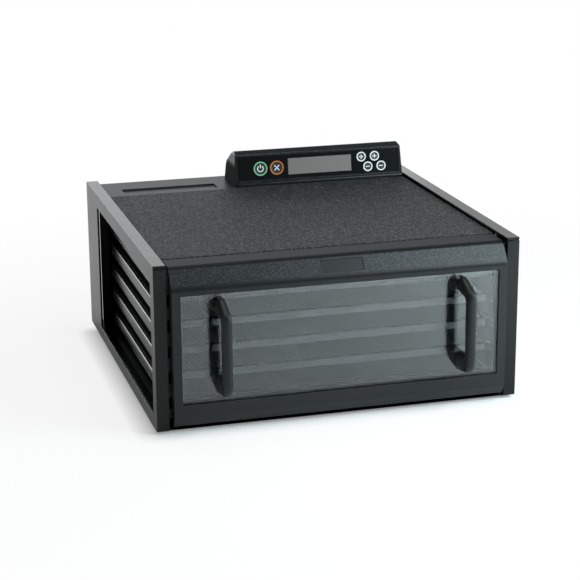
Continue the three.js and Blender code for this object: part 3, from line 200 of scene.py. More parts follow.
class StageSizes(bpy.types.PropertyGroup):
    lens: bpy.props.FloatProperty(
        name="Lens", description="Focal length on a 36 mm sensor", default=106.585, unit="CAMERA"
    )
    turn: bpy.props.FloatProperty(
        name="Turn", description="The camera's turn round the object, seen from above",
        default=math.radians(15.8), subtype="ANGLE",
    )
    tilt: bpy.props.FloatProperty(
        name="Tilt", description="The camera's downward tilt", default=math.radians(16.505), subtype="ANGLE"
    )
    roll: bpy.props.FloatProperty(
        name="Roll", description="The camera's roll", default=math.radians(-0.342), subtype="ANGLE"
    )
    place: bpy.props.FloatVectorProperty(
        name="Place", description="Camera, from the middle of the side frames' front edge on the floor",
        default=(-0.5627, -1.7753, 0.7040), subtype="XYZ", unit="LENGTH",
    )
    floor: bpy.props.FloatProperty(
        name="Floor", description="Half the width of the floor", default=4.0, unit="LENGTH"
    )


# ----------------------------------------------------------------------------------------------------
# Surfaces
# ----------------------------------------------------------------------------------------------------


def grid_faces(rows, columns, wrap_rows=False, wrap_columns=False):
    """Quads between neighbours of a grid of rows by columns points.
    A wrapped side joins its end to its start."""
    i, j = np.meshgrid(
        np.arange(rows if wrap_rows else rows - 1),
        np.arange(columns if wrap_columns else columns - 1),
        indexing="ij",
    )
    down, right = (i + 1) % rows, (j + 1) % columns
    quads = [i * columns + j, i * columns + right, down * columns + right, down * columns + j]
    return np.stack(quads, -1).reshape(-1, 4)


def tube(rings):
    """A closed solid through a stack of closed rings (rows, points, 3).
    Quads join the rings, and each end gets one face."""
    rows, columns = rings.shape[:2]
    caps = [list(range(columns))[::-1], list(range((rows - 1) * columns, rows * columns))]
    return rings.reshape(-1, 3), grid_faces(rows, columns, wrap_columns=True).tolist() + caps


def spun(profile, sides, start=0.0, sweep=2 * math.pi):
    """A profile of (radius, height) turned round the z axis.
    The profile closes on itself, as does a full turn."""
    whole = sweep > 2 * math.pi - 1e-6
    angle = start + np.linspace(0, sweep, sides, endpoint=not whole)
    radius, height = np.array(profile, float).T
    rings = np.stack(
        [
            radius[None] * np.cos(angle)[:, None],
            radius[None] * np.sin(angle)[:, None],
            np.broadcast_to(height, (len(angle), len(height))),
        ],
        -1,
    )
    if not whole:
        return tube(rings)
    return rings.reshape(-1, 3), grid_faces(*rings.shape[:2], wrap_rows=True, wrap_columns=True).tolist()


def block(low, high):
    """A box between two corners, as a stack of two square rings."""
    x, y, z = zip(low, high)
    ring = [(x[0], y[0]), (x[1], y[0]), (x[1], y[1]), (x[0], y[1])]
    return tube(np.array([[(a, b, c) for a, b in ring] for c in z], float))


def rounded(corners, steps=4):
    """A line through corners (a, b, radius): each corner becomes an arc that touches both of its sides.
    The arc's middle lies radius / sin(half the corner's angle) from the corner, on its bisector."""
    points = np.array([corner[:2] for corner in corners], float)
    path = []
    for i, corner in enumerate(corners):
        radius = corner[2] if len(corner) > 2 else 0
        if not radius or i in (0, len(corners) - 1):
            path.append(points[i : i + 1])
            continue
        back, ahead = points[i - 1] - points[i], points[i + 1] - points[i]
        back, ahead = back / np.linalg.norm(back), ahead / np.linalg.norm(ahead)
        half = math.acos(np.clip(back @ ahead, -1, 1)) / 2
        bisector = (back + ahead) / np.linalg.norm(back + ahead)
        middle = points[i] + bisector * radius / math.sin(half)
        turn = np.linspace(-1, 1, steps)[:, None] * (math.pi / 2 - half)
        side = (ahead - back) / np.linalg.norm(ahead - back)
        path.append(middle + radius * (side * np.sin(turn) - bisector * np.cos(turn)))
    return np.concatenate(path)


def along(path, count, anchors):
    """count points spread evenly by length between the anchors, which are indices into the path."""
    reach = np.concatenate([[0], np.cumsum(np.linalg.norm(np.diff(path, axis=0), axis=1))])
    stops = reach[list(anchors)]
    wanted = np.interp(np.linspace(0, len(stops) - 1, count), np.arange(len(stops)), stops)
    return np.stack([np.interp(wanted, reach, path[:, k]) for k in range(path.shape[1])], -1)


def piece(name, shapes, finishes, body, replaces=(), smooth=40.0):
    """One object from shapes of (points, faces) or (points, faces, finish number).
    Its faces are turned the right way out."""
    points, faces, numbers, start = [], [], [], 0
    for shape in shapes:
        points.append(shape[0])
        faces += [[start + v for v in face] for face in shape[1]]
        numbers += [shape[2] if len(shape) > 2 else 0] * len(shape[1])
        start += len(shape[0])
    mesh = bpy.data.meshes.new(name)
    mesh.from_pydata(np.concatenate(points).tolist(), [], faces)
    mesh.polygons.foreach_set("material_index", np.array(numbers, np.int32))
    shell = bmesh.new()
    shell.from_mesh(mesh)
    bmesh.ops.remove_doubles(shell, verts=shell.verts, dist=1e-7)
    bmesh.ops.recalc_face_normals(shell, faces=shell.faces)
    shell.to_mesh(mesh)
    shell.free()
    mesh.shade_smooth()
    mesh.set_sharp_from_angle(angle=math.radians(smooth))
    made = bpy.data.objects.new(name, mesh)
    bpy.context.scene.collection.objects.link(made)
    for finish in finishes:
        made.data.materials.append(finish)
    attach(made, body)
    if replaces:
        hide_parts(*replaces)
    return made


def axes_matrix(side, up, back, place):
    """The matrix of an object at place, whose x, y and z axes are side, up and back."""
    columns = [np.append(side, 0), np.append(up, 0), np.append(back, 0), np.append(place, 1)]
    return Matrix(np.column_stack(columns).tolist())


def dress(finish, *names):
    """Gives CAD nodes a finish."""
    for name in names:
        for place in NODES[name].material_slots:
            place.material = finish


# ----------------------------------------------------------------------------------------------------
# Finishes
# ----------------------------------------------------------------------------------------------------


def add(tree, kind, inputs=None, **settings):
    """Adds a shader node. Settings are its properties.
    Inputs, by name or number, are values or sockets to link."""
    made = tree.nodes.new("ShaderNode" + kind)
    for name, value in settings.items():
        setattr(made, name, value)
    for key, value in (inputs or {}).items():
        if isinstance(value, bpy.types.NodeSocket):
            tree.links.new(value, made.inputs[key])
        elif isinstance(value, str):
            made.inputs[key].default_value = linear(value)
        else:
            made.inputs[key].default_value = value
    return made


def new_finish(name):
    """A material with an empty tree, and its Object coordinates."""
    finish = bpy.data.materials.new(name)
    finish.use_nodes = True
    finish.node_tree.nodes.clear()
    return finish, finish.node_tree, add(finish.node_tree, "TexCoord").outputs["Object"]


def surface(tree, shader):
    """Links a shader to the material's output."""
    add(tree, "OutputMaterial", {"Surface": shader})


def moulded(name, tint, roughness, grain=0.0006, relief=0.00002, edge=0.0008, drift=0.12, spec=0.5):
    """Injection-moulded ABS: spark-eroded grain gives a soft satin sheen, and the rounded edges catch a thin
    line of light."""
    finish, tree, place = new_finish(name)
    fine = add(tree, "TexNoise", {"Vector": place, "Scale": 1 / grain, "Detail": 2.0, "Roughness": 0.6})
    cloud = add(tree, "TexNoise", {"Vector": place, "Scale": 28.0, "Detail": 3.0, "Roughness": 0.5})
    worn = add(tree, "MapRange", {"Value": cloud.outputs["Fac"], "From Min": 0.3, "From Max": 0.7,
                                  "To Min": roughness * (1 - drift), "To Max": roughness * (1 + drift)})
    lighter = [min(1.0, c * (1 + 2.2 * drift) + 0.001) for c in tint[:3]] + [1.0]
    speck = add(tree, "MapRange", {"Value": fine.outputs["Fac"], "From Min": 0.35, "From Max": 0.75})
    shade = add(tree, "Mix", {0: speck.outputs[0], 6: tint, 7: lighter}, data_type="RGBA")
    bevel = add(tree, "Bevel", {"Radius": edge}, samples=4)
    bump = add(tree, "Bump", {"Height": fine.outputs["Fac"], "Distance": relief, "Strength": 1.0,
                              "Normal": bevel.outputs[0]})
    surface(tree, add(tree, "BsdfPrincipled", {
        "Base Color": shade.outputs[2], "Roughness": worn.outputs[0], "Normal": bump.outputs[0],
        "Specular IOR Level": spec, "IOR": 1.5}).outputs[0])
    return finish


def ribbed_wall(name, tint, roughness, groove_x, foot_z):
    """Injection-moulded ABS: the ribs' crests are satin. The walls between them, nearer the middle than
    groove_x, are dull, and their darker colour is painted shade in the deep grooves. The foot, below
    foot_z, is as dull and dark."""
    finish, tree, place = new_finish(name)
    axes = add(tree, "SeparateXYZ", {0: place})
    out = add(tree, "Math", {0: axes.outputs["X"]}, operation="ABSOLUTE")
    proud = add(tree, "MapRange", {"Value": out.outputs[0], "From Min": groove_x - 0.001,
                                   "From Max": groove_x})
    above = add(tree, "MapRange", {"Value": axes.outputs["Z"], "From Min": foot_z, "From Max": foot_z + 0.002,
                                   "To Min": 0.15, "To Max": 1.0})
    crest = add(tree, "Math", {0: proud.outputs[0], 1: above.outputs[0]}, operation="MULTIPLY")
    fine = add(tree, "TexNoise", {"Vector": place, "Scale": 1600.0, "Detail": 2.0})
    bevel = add(tree, "Bevel", {"Radius": 0.0008}, samples=4)
    bump = add(tree, "Bump", {"Height": fine.outputs["Fac"], "Distance": 0.00001, "Normal": bevel.outputs[0]})
    # painted shade in the grooves: their walls take this darker colour, as does the foot
    dark = shaded(tint, 0.12)
    shade = add(tree, "Mix", {0: crest.outputs[0], 6: dark, 7: tint}, data_type="RGBA")
    gloss = add(tree, "MapRange", {"Value": crest.outputs[0], "To Min": 0.95, "To Max": roughness})
    shine = add(tree, "MapRange", {"Value": crest.outputs[0], "To Min": 0.02, "To Max": 0.5})
    surface(tree, add(tree, "BsdfPrincipled", {
        "Base Color": shade.outputs[2], "Roughness": gloss.outputs[0], "Specular IOR Level": shine.outputs[0],
        "Normal": bump.outputs[0], "IOR": 1.5}).outputs[0])
    return finish


def head_moulding(name, tint, lip_z, end_x):
    """Spark-eroded ABS: coarse flecked grain all over. The lip below lip_z is polished, and the flat end at
    end_x is left dull."""
    finish, tree, place = new_finish(name)
    fleck = add(tree, "TexNoise", {"Vector": place, "Scale": 700.0, "Detail": 3.0, "Roughness": 0.8})
    speck = add(tree, "MapRange", {"Value": fleck.outputs["Fac"], "From Min": 0.5, "From Max": 0.75})
    light = shaded(tint, 7.0)
    shade = add(tree, "Mix", {0: speck.outputs[0], 6: tint, 7: light}, data_type="RGBA")
    axes = add(tree, "SeparateXYZ", {0: place})
    satin = add(tree, "MapRange", {"Value": axes.outputs["Z"], "From Min": lip_z, "From Max": lip_z + 0.001,
                                   "To Min": 0.15, "To Max": 0.26})
    dull = add(tree, "MapRange", {"Value": axes.outputs["X"], "From Min": end_x + 0.0012,
                                  "From Max": end_x + 0.0017, "To Min": 1.0, "To Max": 0.0})
    gloss = add(tree, "Math", {0: satin.outputs[0], 1: dull.outputs[0]}, operation="MAXIMUM")
    bevel = add(tree, "Bevel", {"Radius": 0.0012}, samples=4)
    bump = add(tree, "Bump", {"Height": fleck.outputs["Fac"], "Distance": 0.00003,
                              "Normal": bevel.outputs[0]})
    surface(tree, add(tree, "BsdfPrincipled", {
        "Base Color": shade.outputs[2], "Roughness": gloss.outputs[0], "Specular IOR Level": 0.25,
        "Normal": bump.outputs[0], "IOR": 1.5}).outputs[0])
    return finish


def leather_grain(name, tint, roughness, ledge_y):
    """ABS from a leather-etched mould: pebbles of about 2.4 mm between fine creases. Their flecks are partly
    the grain's own uneven tone and partly painted highlight: the pale specks stand in for its glints.
    Behind ledge_y the mould is plain, and that strip is smoother and paler."""
    finish, tree, place = new_finish(name)
    bent = add(tree, "TexNoise", {"Vector": place, "Scale": 160.0, "Detail": 2.0})
    offset = add(tree, "VectorMath", {0: bent.outputs["Color"], 3: 0.0016}, operation="SCALE")
    moved = add(tree, "VectorMath", {0: place, 1: offset.outputs[0]}, operation="ADD")
    pebble = add(tree, "TexVoronoi", {"Vector": moved.outputs[0], "Scale": 420.0}, feature="DISTANCE_TO_EDGE")
    crease = add(tree, "MapRange", {"Value": pebble.outputs["Distance"], "From Min": 0.0, "From Max": 0.28})
    flecks = add(tree, "TexNoise", {"Vector": place, "Scale": 380.0, "Detail": 3.0, "Roughness": 0.8})
    wrinkle = add(tree, "TexNoise", {"Vector": place, "Scale": 62.0, "Detail": 5.0, "Roughness": 0.62,
                                     "Distortion": 0.6})
    height = add(tree, "Math", {0: crease.outputs[0], 1: wrinkle.outputs["Fac"]}, operation="ADD")
    across = add(tree, "SeparateXYZ", {0: place})
    grained = add(tree, "MapRange", {"Value": across.outputs["Y"], "From Min": ledge_y - 0.002,
                                     "From Max": ledge_y, "To Min": 1.0, "To Max": 0.0})
    relief = add(tree, "Math", {0: height.outputs[0], 1: grained.outputs[0]}, operation="MULTIPLY")
    bevel = add(tree, "Bevel", {"Radius": 0.0008}, samples=4)
    bump = add(tree, "Bump", {"Height": relief.outputs[0], "Distance": 0.0005, "Strength": 1.0,
                              "Normal": bevel.outputs[0]})
    dark = shaded(tint, 0.1)
    # painted highlight: the pale end of the flecks' ramp stands in for the grain's glints
    pale = shaded(tint, 8.0)
    smooth = shaded(tint, 1.35)
    shade = add(tree, "ValToRGB", {0: flecks.outputs["Fac"]})
    shade.color_ramp.elements[0].position, shade.color_ramp.elements[0].color = 0.4, dark
    shade.color_ramp.elements[1].position, shade.color_ramp.elements[1].color = 0.66, pale
    middle = shade.color_ramp.elements.new(0.52)
    middle.color = tint
    zoned = add(tree, "Mix", {0: grained.outputs[0], 6: smooth, 7: shade.outputs[0]}, data_type="RGBA")
    gloss = add(tree, "MapRange", {"Value": grained.outputs[0], "To Min": roughness * 0.72,
                                   "To Max": roughness})
    surface(tree, add(tree, "BsdfPrincipled", {
        "Base Color": zoned.outputs[2], "Roughness": gloss.outputs[0], "Normal": bump.outputs[0],
        "Specular IOR Level": 0.2, "IOR": 1.5}).outputs[0])
    return finish


def door_moulding(name, tint, slope_base, slope_top, slope_rear, plate):
    """Satin ABS with a textured header: the slope's fine spark grain scatters light, and its foot and the rest
    are smooth. So is the bare plate in its middle, given as its half width, lower and upper edge."""
    finish, tree, place = new_finish(name)
    fine = add(tree, "TexNoise", {"Vector": place, "Scale": 520.0, "Detail": 3.0, "Roughness": 0.8})
    broad = add(tree, "TexNoise", {"Vector": place, "Scale": 150.0, "Detail": 4.0, "Roughness": 0.65})
    axes = add(tree, "SeparateXYZ", {0: place})
    over = add(tree, "MapRange", {"Value": axes.outputs["Z"], "From Min": slope_base,
                                  "From Max": slope_base + 0.0008})
    under = add(tree, "MapRange", {"Value": axes.outputs["Z"], "From Min": slope_top - 0.0008,
                                   "From Max": slope_top, "To Min": 1.0, "To Max": 0.0})
    ahead = add(tree, "MapRange", {"Value": axes.outputs["Y"], "From Min": slope_rear,
                                   "From Max": slope_rear + 0.001, "To Min": 1.0, "To Max": 0.0})
    band = add(tree, "Math", {0: over.outputs[0], 1: under.outputs[0]}, operation="MULTIPLY")
    slope = add(tree, "Math", {0: band.outputs[0], 1: ahead.outputs[0]}, operation="MULTIPLY")
    across = add(tree, "Math", {0: axes.outputs["X"]}, operation="ABSOLUTE")
    badge = [add(tree, "Math", {0: across.outputs[0], 1: plate[0]}, operation="LESS_THAN"),
             add(tree, "Math", {0: axes.outputs["Z"], 1: plate[1]}, operation="GREATER_THAN"),
             add(tree, "Math", {0: axes.outputs["Z"], 1: plate[2]}, operation="LESS_THAN")]
    inside = add(tree, "Math", {0: badge[0].outputs[0], 1: badge[1].outputs[0]}, operation="MULTIPLY")
    inside = add(tree, "Math", {0: inside.outputs[0], 1: badge[2].outputs[0]}, operation="MULTIPLY")
    around = add(tree, "Math", {0: 1.0, 1: inside.outputs[0]}, operation="SUBTRACT")
    grained = add(tree, "Math", {0: slope.outputs[0], 1: around.outputs[0]}, operation="MULTIPLY")
    height = add(tree, "Math", {0: fine.outputs["Fac"], 1: broad.outputs["Fac"]}, operation="ADD")
    strength = add(tree, "MapRange", {"Value": grained.outputs[0], "To Min": 0.12, "To Max": 1.0})
    bevel = add(tree, "Bevel", {"Radius": 0.0009}, samples=4)
    bump = add(tree, "Bump", {"Height": height.outputs[0], "Distance": 0.00011,
                              "Strength": strength.outputs[0], "Normal": bevel.outputs[0]})
    light = shaded(tint, 9.0)
    fleck = add(tree, "MapRange", {"Value": fine.outputs["Fac"], "From Min": 0.46, "From Max": 0.72})
    amount = add(tree, "Math", {0: fleck.outputs[0], 1: grained.outputs[0]}, operation="MULTIPLY")
    shade = add(tree, "Mix", {0: amount.outputs[0], 6: tint, 7: light}, data_type="RGBA")
    flat_top = add(tree, "Math", {0: under.outputs[0], 1: ahead.outputs[0]}, operation="MINIMUM")
    shine = add(tree, "MapRange", {"Value": flat_top.outputs[0], "To Min": 0.1, "To Max": 0.36})
    gloss = add(tree, "MapRange", {"Value": flat_top.outputs[0], "To Min": 0.5, "To Max": 0.36})
    surface(tree, add(tree, "BsdfPrincipled", {
        "Base Color": shade.outputs[2], "Roughness": gloss.outputs[0], "Specular IOR Level": shine.outputs[0],
        "Normal": bump.outputs[0], "IOR": 1.5}).outputs[0])
    return finish


def clear_polycarbonate(name):
    """Cast polycarbonate sheet: clear, with a glossy skin that mirrors about a twentieth of the light on each
    face, and a thin grey veil of fine scratches and dust."""
    finish, tree, place = new_finish(name)
    dust = add(tree, "TexNoise", {"Vector": place, "Scale": 45.0, "Detail": 4.0})
    haze = add(tree, "MapRange", {"Value": dust.outputs["Fac"], "To Min": 0.002, "To Max": 0.008})
    fresnel = add(tree, "Fresnel", {"IOR": 1.585})
    clear = add(tree, "BsdfTransparent", {"Color": "f2f5f6"})
    veil = add(tree, "BsdfDiffuse", {"Color": "b9c1c6"})
    body = add(tree, "MixShader", {0: haze.outputs[0], 1: clear.outputs[0], 2: veil.outputs[0]})
    skin = add(tree, "BsdfGlossy", {"Color": "ffffff", "Roughness": 0.03})
    sheet = add(tree, "MixShader", {0: fresnel.outputs[0], 1: body.outputs[0], 2: skin.outputs[0]})
    surface(tree, sheet.outputs[0])
    return finish


def soft_net(name, tint):
    """Extruded polypropylene net: waxy and slightly translucent, so light bleeds through the strands."""
    finish, tree, place = new_finish(name)
    cloud = add(tree, "TexNoise", {"Vector": place, "Scale": 90.0, "Detail": 3.0})
    dark = shaded(tint, 0.8)
    shade = add(tree, "Mix", {0: cloud.outputs["Fac"], 6: dark, 7: tint}, data_type="RGBA")
    surface(tree, add(tree, "BsdfPrincipled", {
        "Base Color": shade.outputs[2], "Roughness": 0.3, "Subsurface Weight": 0.15,
        "Subsurface Scale": 0.001, "IOR": 1.49}).outputs[0])
    return finish


def metal(name, tint, roughness, streak, stretch=(1.0, 1.0, 1.0), depth=0.25):
    """Bare or plated metal: rolling and plating leave faint streaks, at the given spacing and stretch."""
    finish, tree, place = new_finish(name)
    laid = add(tree, "Mapping", {"Vector": place, "Scale": stretch})
    lines = add(tree, "TexNoise", {"Vector": laid.outputs[0], "Scale": 1 / streak, "Detail": 3.0})
    gloss = add(tree, "MapRange", {"Value": lines.outputs["Fac"], "To Min": roughness * (1 - depth),
                                   "To Max": roughness * (1 + depth)})
    dark = shaded(tint, 0.78)
    shade = add(tree, "Mix", {0: lines.outputs["Fac"], 6: dark, 7: tint}, data_type="RGBA")
    bevel = add(tree, "Bevel", {"Radius": 0.0004}, samples=4)
    surface(tree, add(tree, "BsdfPrincipled", {
        "Base Color": shade.outputs[2], "Metallic": 1.0, "Roughness": gloss.outputs[0],
        "Normal": bevel.outputs[0]}).outputs[0])
    return finish


def mica_sheet(name):
    """Pressed muscovite mica: pale brown flakes of a few millimetres with a pearly, uneven sheen."""
    finish, tree, place = new_finish(name)
    flakes = add(tree, "TexVoronoi", {"Vector": place, "Scale": 380.0, "Randomness": 1.0})
    shade = add(tree, "ValToRGB", {0: flakes.outputs["Color"]})
    shade.color_ramp.elements[0].color = linear("8f7650")
    shade.color_ramp.elements[1].color = linear("cfb98a")
    gloss = add(tree, "MapRange", {"Value": flakes.outputs["Distance"], "To Min": 0.25, "To Max": 0.55})
    surface(tree, add(tree, "BsdfPrincipled", {
        "Base Color": shade.outputs[0], "Roughness": gloss.outputs[0], "Coat Weight": 0.3}).outputs[0])
    return finish


def silicone(name, tint):
    """Moulded silicone: dull and even, with a faint bloom of fine dust."""
    finish, tree, place = new_finish(name)
    bloom = add(tree, "TexNoise", {"Vector": place, "Scale": 240.0, "Detail": 4.0})
    lighter = shaded(tint, 1.4)
    shade = add(tree, "Mix", {0: bloom.outputs["Fac"], 6: tint, 7: lighter}, data_type="RGBA")
    surface(tree, add(tree, "BsdfPrincipled", {
        "Base Color": shade.outputs[2], "Roughness": 0.62, "IOR": 1.43}).outputs[0])
    return finish


def solder_mask(name):
    """Fibreglass board under green solder mask: copper tracks about 1.6 mm apart show through it as a
    lighter green."""
    finish, tree, place = new_finish(name)
    tracks = add(tree, "TexWave", {"Vector": place, "Scale": 200.0, "Distortion": 3.0, "Detail": 1.0},
                 wave_type="BANDS")
    lit = add(tree, "MapRange", {"Value": tracks.outputs["Fac"], "From Min": 0.55, "From Max": 0.65})
    shade = add(tree, "Mix", {0: lit.outputs[0], 6: "174a2b", 7: "2b7444"}, data_type="RGBA")
    surface(tree, add(tree, "BsdfPrincipled", {
        "Base Color": shade.outputs[2], "Roughness": 0.28, "Coat Weight": 0.4}).outputs[0])
    return finish


def unlit_display(name, tint):
    """Reflective liquid crystal behind a satin window: a warm grey with faint upright lines 1.2 mm apart."""
    finish, tree, place = new_finish(name)
    axes = add(tree, "SeparateXYZ", {0: place})
    across = add(tree, "Math", {0: axes.outputs["X"], 1: 2 * math.pi / 0.0012}, operation="MULTIPLY")
    wave = add(tree, "Math", {0: across.outputs[0]}, operation="SINE")
    cloud = add(tree, "TexNoise", {"Vector": place, "Scale": 900.0, "Detail": 1.0})
    mixed = add(tree, "Math", {0: wave.outputs[0], 1: 0.12, 2: cloud.outputs["Fac"]},
                operation="MULTIPLY_ADD")
    lighter = shaded(tint, 1.12)
    darker = shaded(tint, 0.9)
    shade = add(tree, "Mix", {0: mixed.outputs[0], 6: darker, 7: lighter}, data_type="RGBA")
    surface(tree, add(tree, "BsdfPrincipled", {
        "Base Color": shade.outputs[2], "Roughness": 0.35, "IOR": 1.5}).outputs[0])
    return finish


def print_ink(name, tint):
    """Screen-printed epoxy ink: opaque and slightly uneven, with a low satin sheen."""
    finish, tree, place = new_finish(name)
    speck = add(tree, "TexNoise", {"Vector": place, "Scale": 1500.0, "Detail": 2.0})
    darker = shaded(tint, 0.82)
    shade = add(tree, "Mix", {0: speck.outputs["Fac"], 6: darker, 7: tint}, data_type="RGBA")
    surface(tree, add(tree, "BsdfPrincipled", {
        "Base Color": shade.outputs[2], "Roughness": 0.45, "IOR": 1.5}).outputs[0])
    return finish


# ----------------------------------------------------------------------------------------------------
# Operators
# ----------------------------------------------------------------------------------------------------


def wall_profiles(sizes):
    """Outer and inner line of the right-hand wall, seen from the front, from the floor's middle to the roof.
    Both run through the same corners: foot, sill, and for each tray a rib with sloping flanks and a flat
    crest."""
    wall, base = sizes.wall, CASE_LOW.z
    web = CASE_HIGH.x - sizes.rib_setback - sizes.rib_depth
    crest = web + sizes.rib_depth
    sill_top = base + sizes.sill_height
    top = CASE_HIGH.z - wall - LEDGE_EXTRA
    root, round_, draft = sizes.root_rounding, sizes.rib_rounding, sizes.rib_draft
    outer = [(0, base), (CASE_HIGH.x, base, 0.001), (CASE_HIGH.x, sill_top, 0.0012), (web, sill_top, root)]
    inner = [(0, base + wall), (CASE_HIGH.x - wall, base + wall, 0.001),
             (CASE_HIGH.x - wall, sill_top - wall, 0.001), (web - wall, sill_top - wall, root)]
    for low, high in TRAYS:
        bottom, ceiling = low.z + SEAT, high.z + SEAT
        outer += [(web, bottom - draft - wall, root), (crest, bottom - wall, round_),
                  (crest, ceiling + wall, round_), (web, ceiling + draft + wall, root)]
        inner += [(web - wall, bottom - draft, 0.0008), (crest - wall, bottom, 0.0008),
                  (crest - wall, ceiling, 0.0008), (web - wall, ceiling + draft, 0.0008)]
    outer.append((web, top))
    inner.append((web - wall, top))
    return rounded(outer), rounded(inner), web


class DEHYDRATOR_OT_case(bpy.types.Operator):
    """Sweep the ribbed case from front to rear, with the ribs easing into the walls behind the air baffle"""

    bl_idname = "dehydrator.case"
    bl_label = "Ribbed case"

    def execute(self, context):
        sizes = context.scene.dehydrator_case
        outer, inner, web = wall_profiles(sizes)
        loop = np.concatenate([outer, inner[::-1]])
        front, rear = CASE_LOW.y + PLATE_SETBACK, CASE_HIGH.y
        fade_end = BAFFLE_FRONT + sizes.fade_past
        fade = np.linspace(fade_end - sizes.fade_length, fade_end, 14)
        stations = np.concatenate([[front], np.linspace(front + 0.02, fade[0] - 0.02, 6), fade, [rear]])
        t = np.clip((stations - fade[0]) / sizes.fade_length, 0, 1)
        depth = 1 - t * t * (3 - 2 * t)
        half = np.concatenate([np.full(len(outer), web), np.full(len(inner), web - sizes.wall)])
        ribbed = loop[:, 1] > CASE_LOW.z + sizes.sill_height + 0.001
        proud = np.where(ribbed, np.maximum(loop[:, 0] - half, 0), 0)
        x = loop[None, :, 0] - (1 - depth[:, None]) * proud[None]
        y, z = np.broadcast_to(stations[:, None], x.shape), np.broadcast_to(loop[:, 1], x.shape)
        rings = np.stack([x, y, z], -1)
        shapes = []
        for side in (1, -1):
            shapes.append(tube(rings * (side, 1, 1)))
            ledge = [(side * (web - sizes.wall), ROOF_FRONT + SEAT, CASE_HIGH.z - sizes.wall - LEDGE_EXTRA),
                     (side * (web + sizes.ledge_width - 0.0008), rear, CASE_HIGH.z)]
            shapes.append(block(*np.sort(np.array(ledge), 0)))
        lip = rounded([(CASE_LOW.y + LIP_DEPTH, CASE_LOW.z), (CASE_LOW.y, CASE_LOW.z, 0.0012),
                       (CASE_LOW.y, CASE_LOW.z + LIP_HEIGHT, 0.0018),
                       (CASE_LOW.y + LIP_DEPTH, CASE_LOW.z + LIP_HEIGHT)])
        ends = np.array([CASE_LOW.x, CASE_HIGH.x])[:, None]
        parts = (ends, lip[:, 0], lip[:, 1])
        shapes.append(tube(np.stack([np.broadcast_to(part, (2, len(lip))) for part in parts], -1)))
        shapes += self.front_plate(sizes, web)
        black = ribbed_wall("Ribbed ABS", context.scene.dehydrator_finishes.case_black, 0.22,
                            web + sizes.rib_depth * 0.6, CASE_LOW.z + sizes.sill_height + 0.004)
        piece("case_walls", shapes, [black], "case", ["case_shell"], smooth=32)
        return {"FINISHED"}

    def front_plate(self, sizes, web):
        """Blocks between the trays' channels and a strip beyond the channels' ends, on both sides."""
        front = CASE_LOW.y + PLATE_SETBACK
        back = front + sizes.plate
        near, channel_end = web - sizes.wall / 2, CASE_HIGH.x - sizes.rib_setback - sizes.wall
        lows = [CASE_LOW.z] + [high.z + sizes.channel_room for _, high in TRAYS]
        highs = [low.z - sizes.channel_room for low, _ in TRAYS] + [FRAME_BASE + sizes.plate_top]
        parts = [((channel_end, front, CASE_LOW.z), (CASE_HIGH.x, back, FRAME_BASE + sizes.plate_top))]
        parts += [((near, front, low), (channel_end, back, high)) for low, high in zip(lows, highs)]
        both = []
        for low, high in parts:
            both.append(block(low, high))
            both.append(block((-high[0], low[1], low[2]), (-low[0], high[1], high[2])))
        return both


class DEHYDRATOR_OT_side_frames(bpy.types.Operator):
    """Finish the two rectangular side frames"""

    bl_idname = "dehydrator.side_frames"
    bl_label = "Side frames"

    def execute(self, context):
        grey = moulded("Frame ABS", context.scene.dehydrator_finishes.frame_grey, 0.2, grain=0.0005,
                       relief=0.00001, edge=0.0011, drift=0.08, spec=0.22)
        dress(grey, "side_frame_left", "side_frame_right")
        return {"FINISHED"}


class DEHYDRATOR_OT_roof(bpy.types.Operator):
    """Finish the leather-grained roof with its smooth rear strip, and the feet"""

    bl_idname = "dehydrator.roof"
    bl_label = "Roof and feet"

    def execute(self, context):
        tint = context.scene.dehydrator_finishes.roof_grey
        dress(leather_grain("Roof ABS", tint, 0.6, HEAD_LOW.y - 0.002), "top_panel")
        dress(silicone("Foot rubber", linear("17181a")), *[n for n in NODES if n.startswith("foot_")])
        return {"FINISHED"}


def strand_rows(positions, low, high, front, rear, front_radius, rear_radius):
    """Ends of strands that run across a plan with rounded corners.
    At distance d inside a corner's radius r, the outline draws in by r - sqrt(r^2 - (r - d)^2)."""
    def drawn_in(distance, radius):
        inside = np.clip(radius - distance, 0, radius)
        return radius - np.sqrt(radius**2 - inside**2)

    inset = np.maximum(drawn_in(positions - front, front_radius), drawn_in(rear - positions, rear_radius))
    return low + inset, high - inset


def strands(positions, starts, ends, height, thickness, across, sides=6):
    """Round strands as rings of points at their two ends: one tube per strand, all in one array."""
    angle = np.arange(sides) / sides * 2 * math.pi
    round_a, round_z = np.cos(angle) * thickness / 2, np.sin(angle) * thickness / 2
    count = len(positions)
    along_ = np.broadcast_to(np.stack([starts, ends], 1)[:, :, None], (count, 2, sides))
    beside = np.broadcast_to(positions[:, None, None] + round_a, (count, 2, sides))
    up = np.broadcast_to(height + round_z, (count, 2, sides))
    points = np.stack([along_, beside, up] if across else [beside, along_, up], -1).reshape(-1, 3)
    one = grid_faces(2, sides, wrap_columns=True)
    offset = (np.arange(count) * 2 * sides)[:, None, None]
    faces = (one[None] + offset).reshape(-1, 4).tolist()
    caps = np.concatenate([np.arange(sides)[::-1][None], (np.arange(sides) + sides)[None]])
    return points, faces + (caps[None] + offset).reshape(-1, sides).tolist()


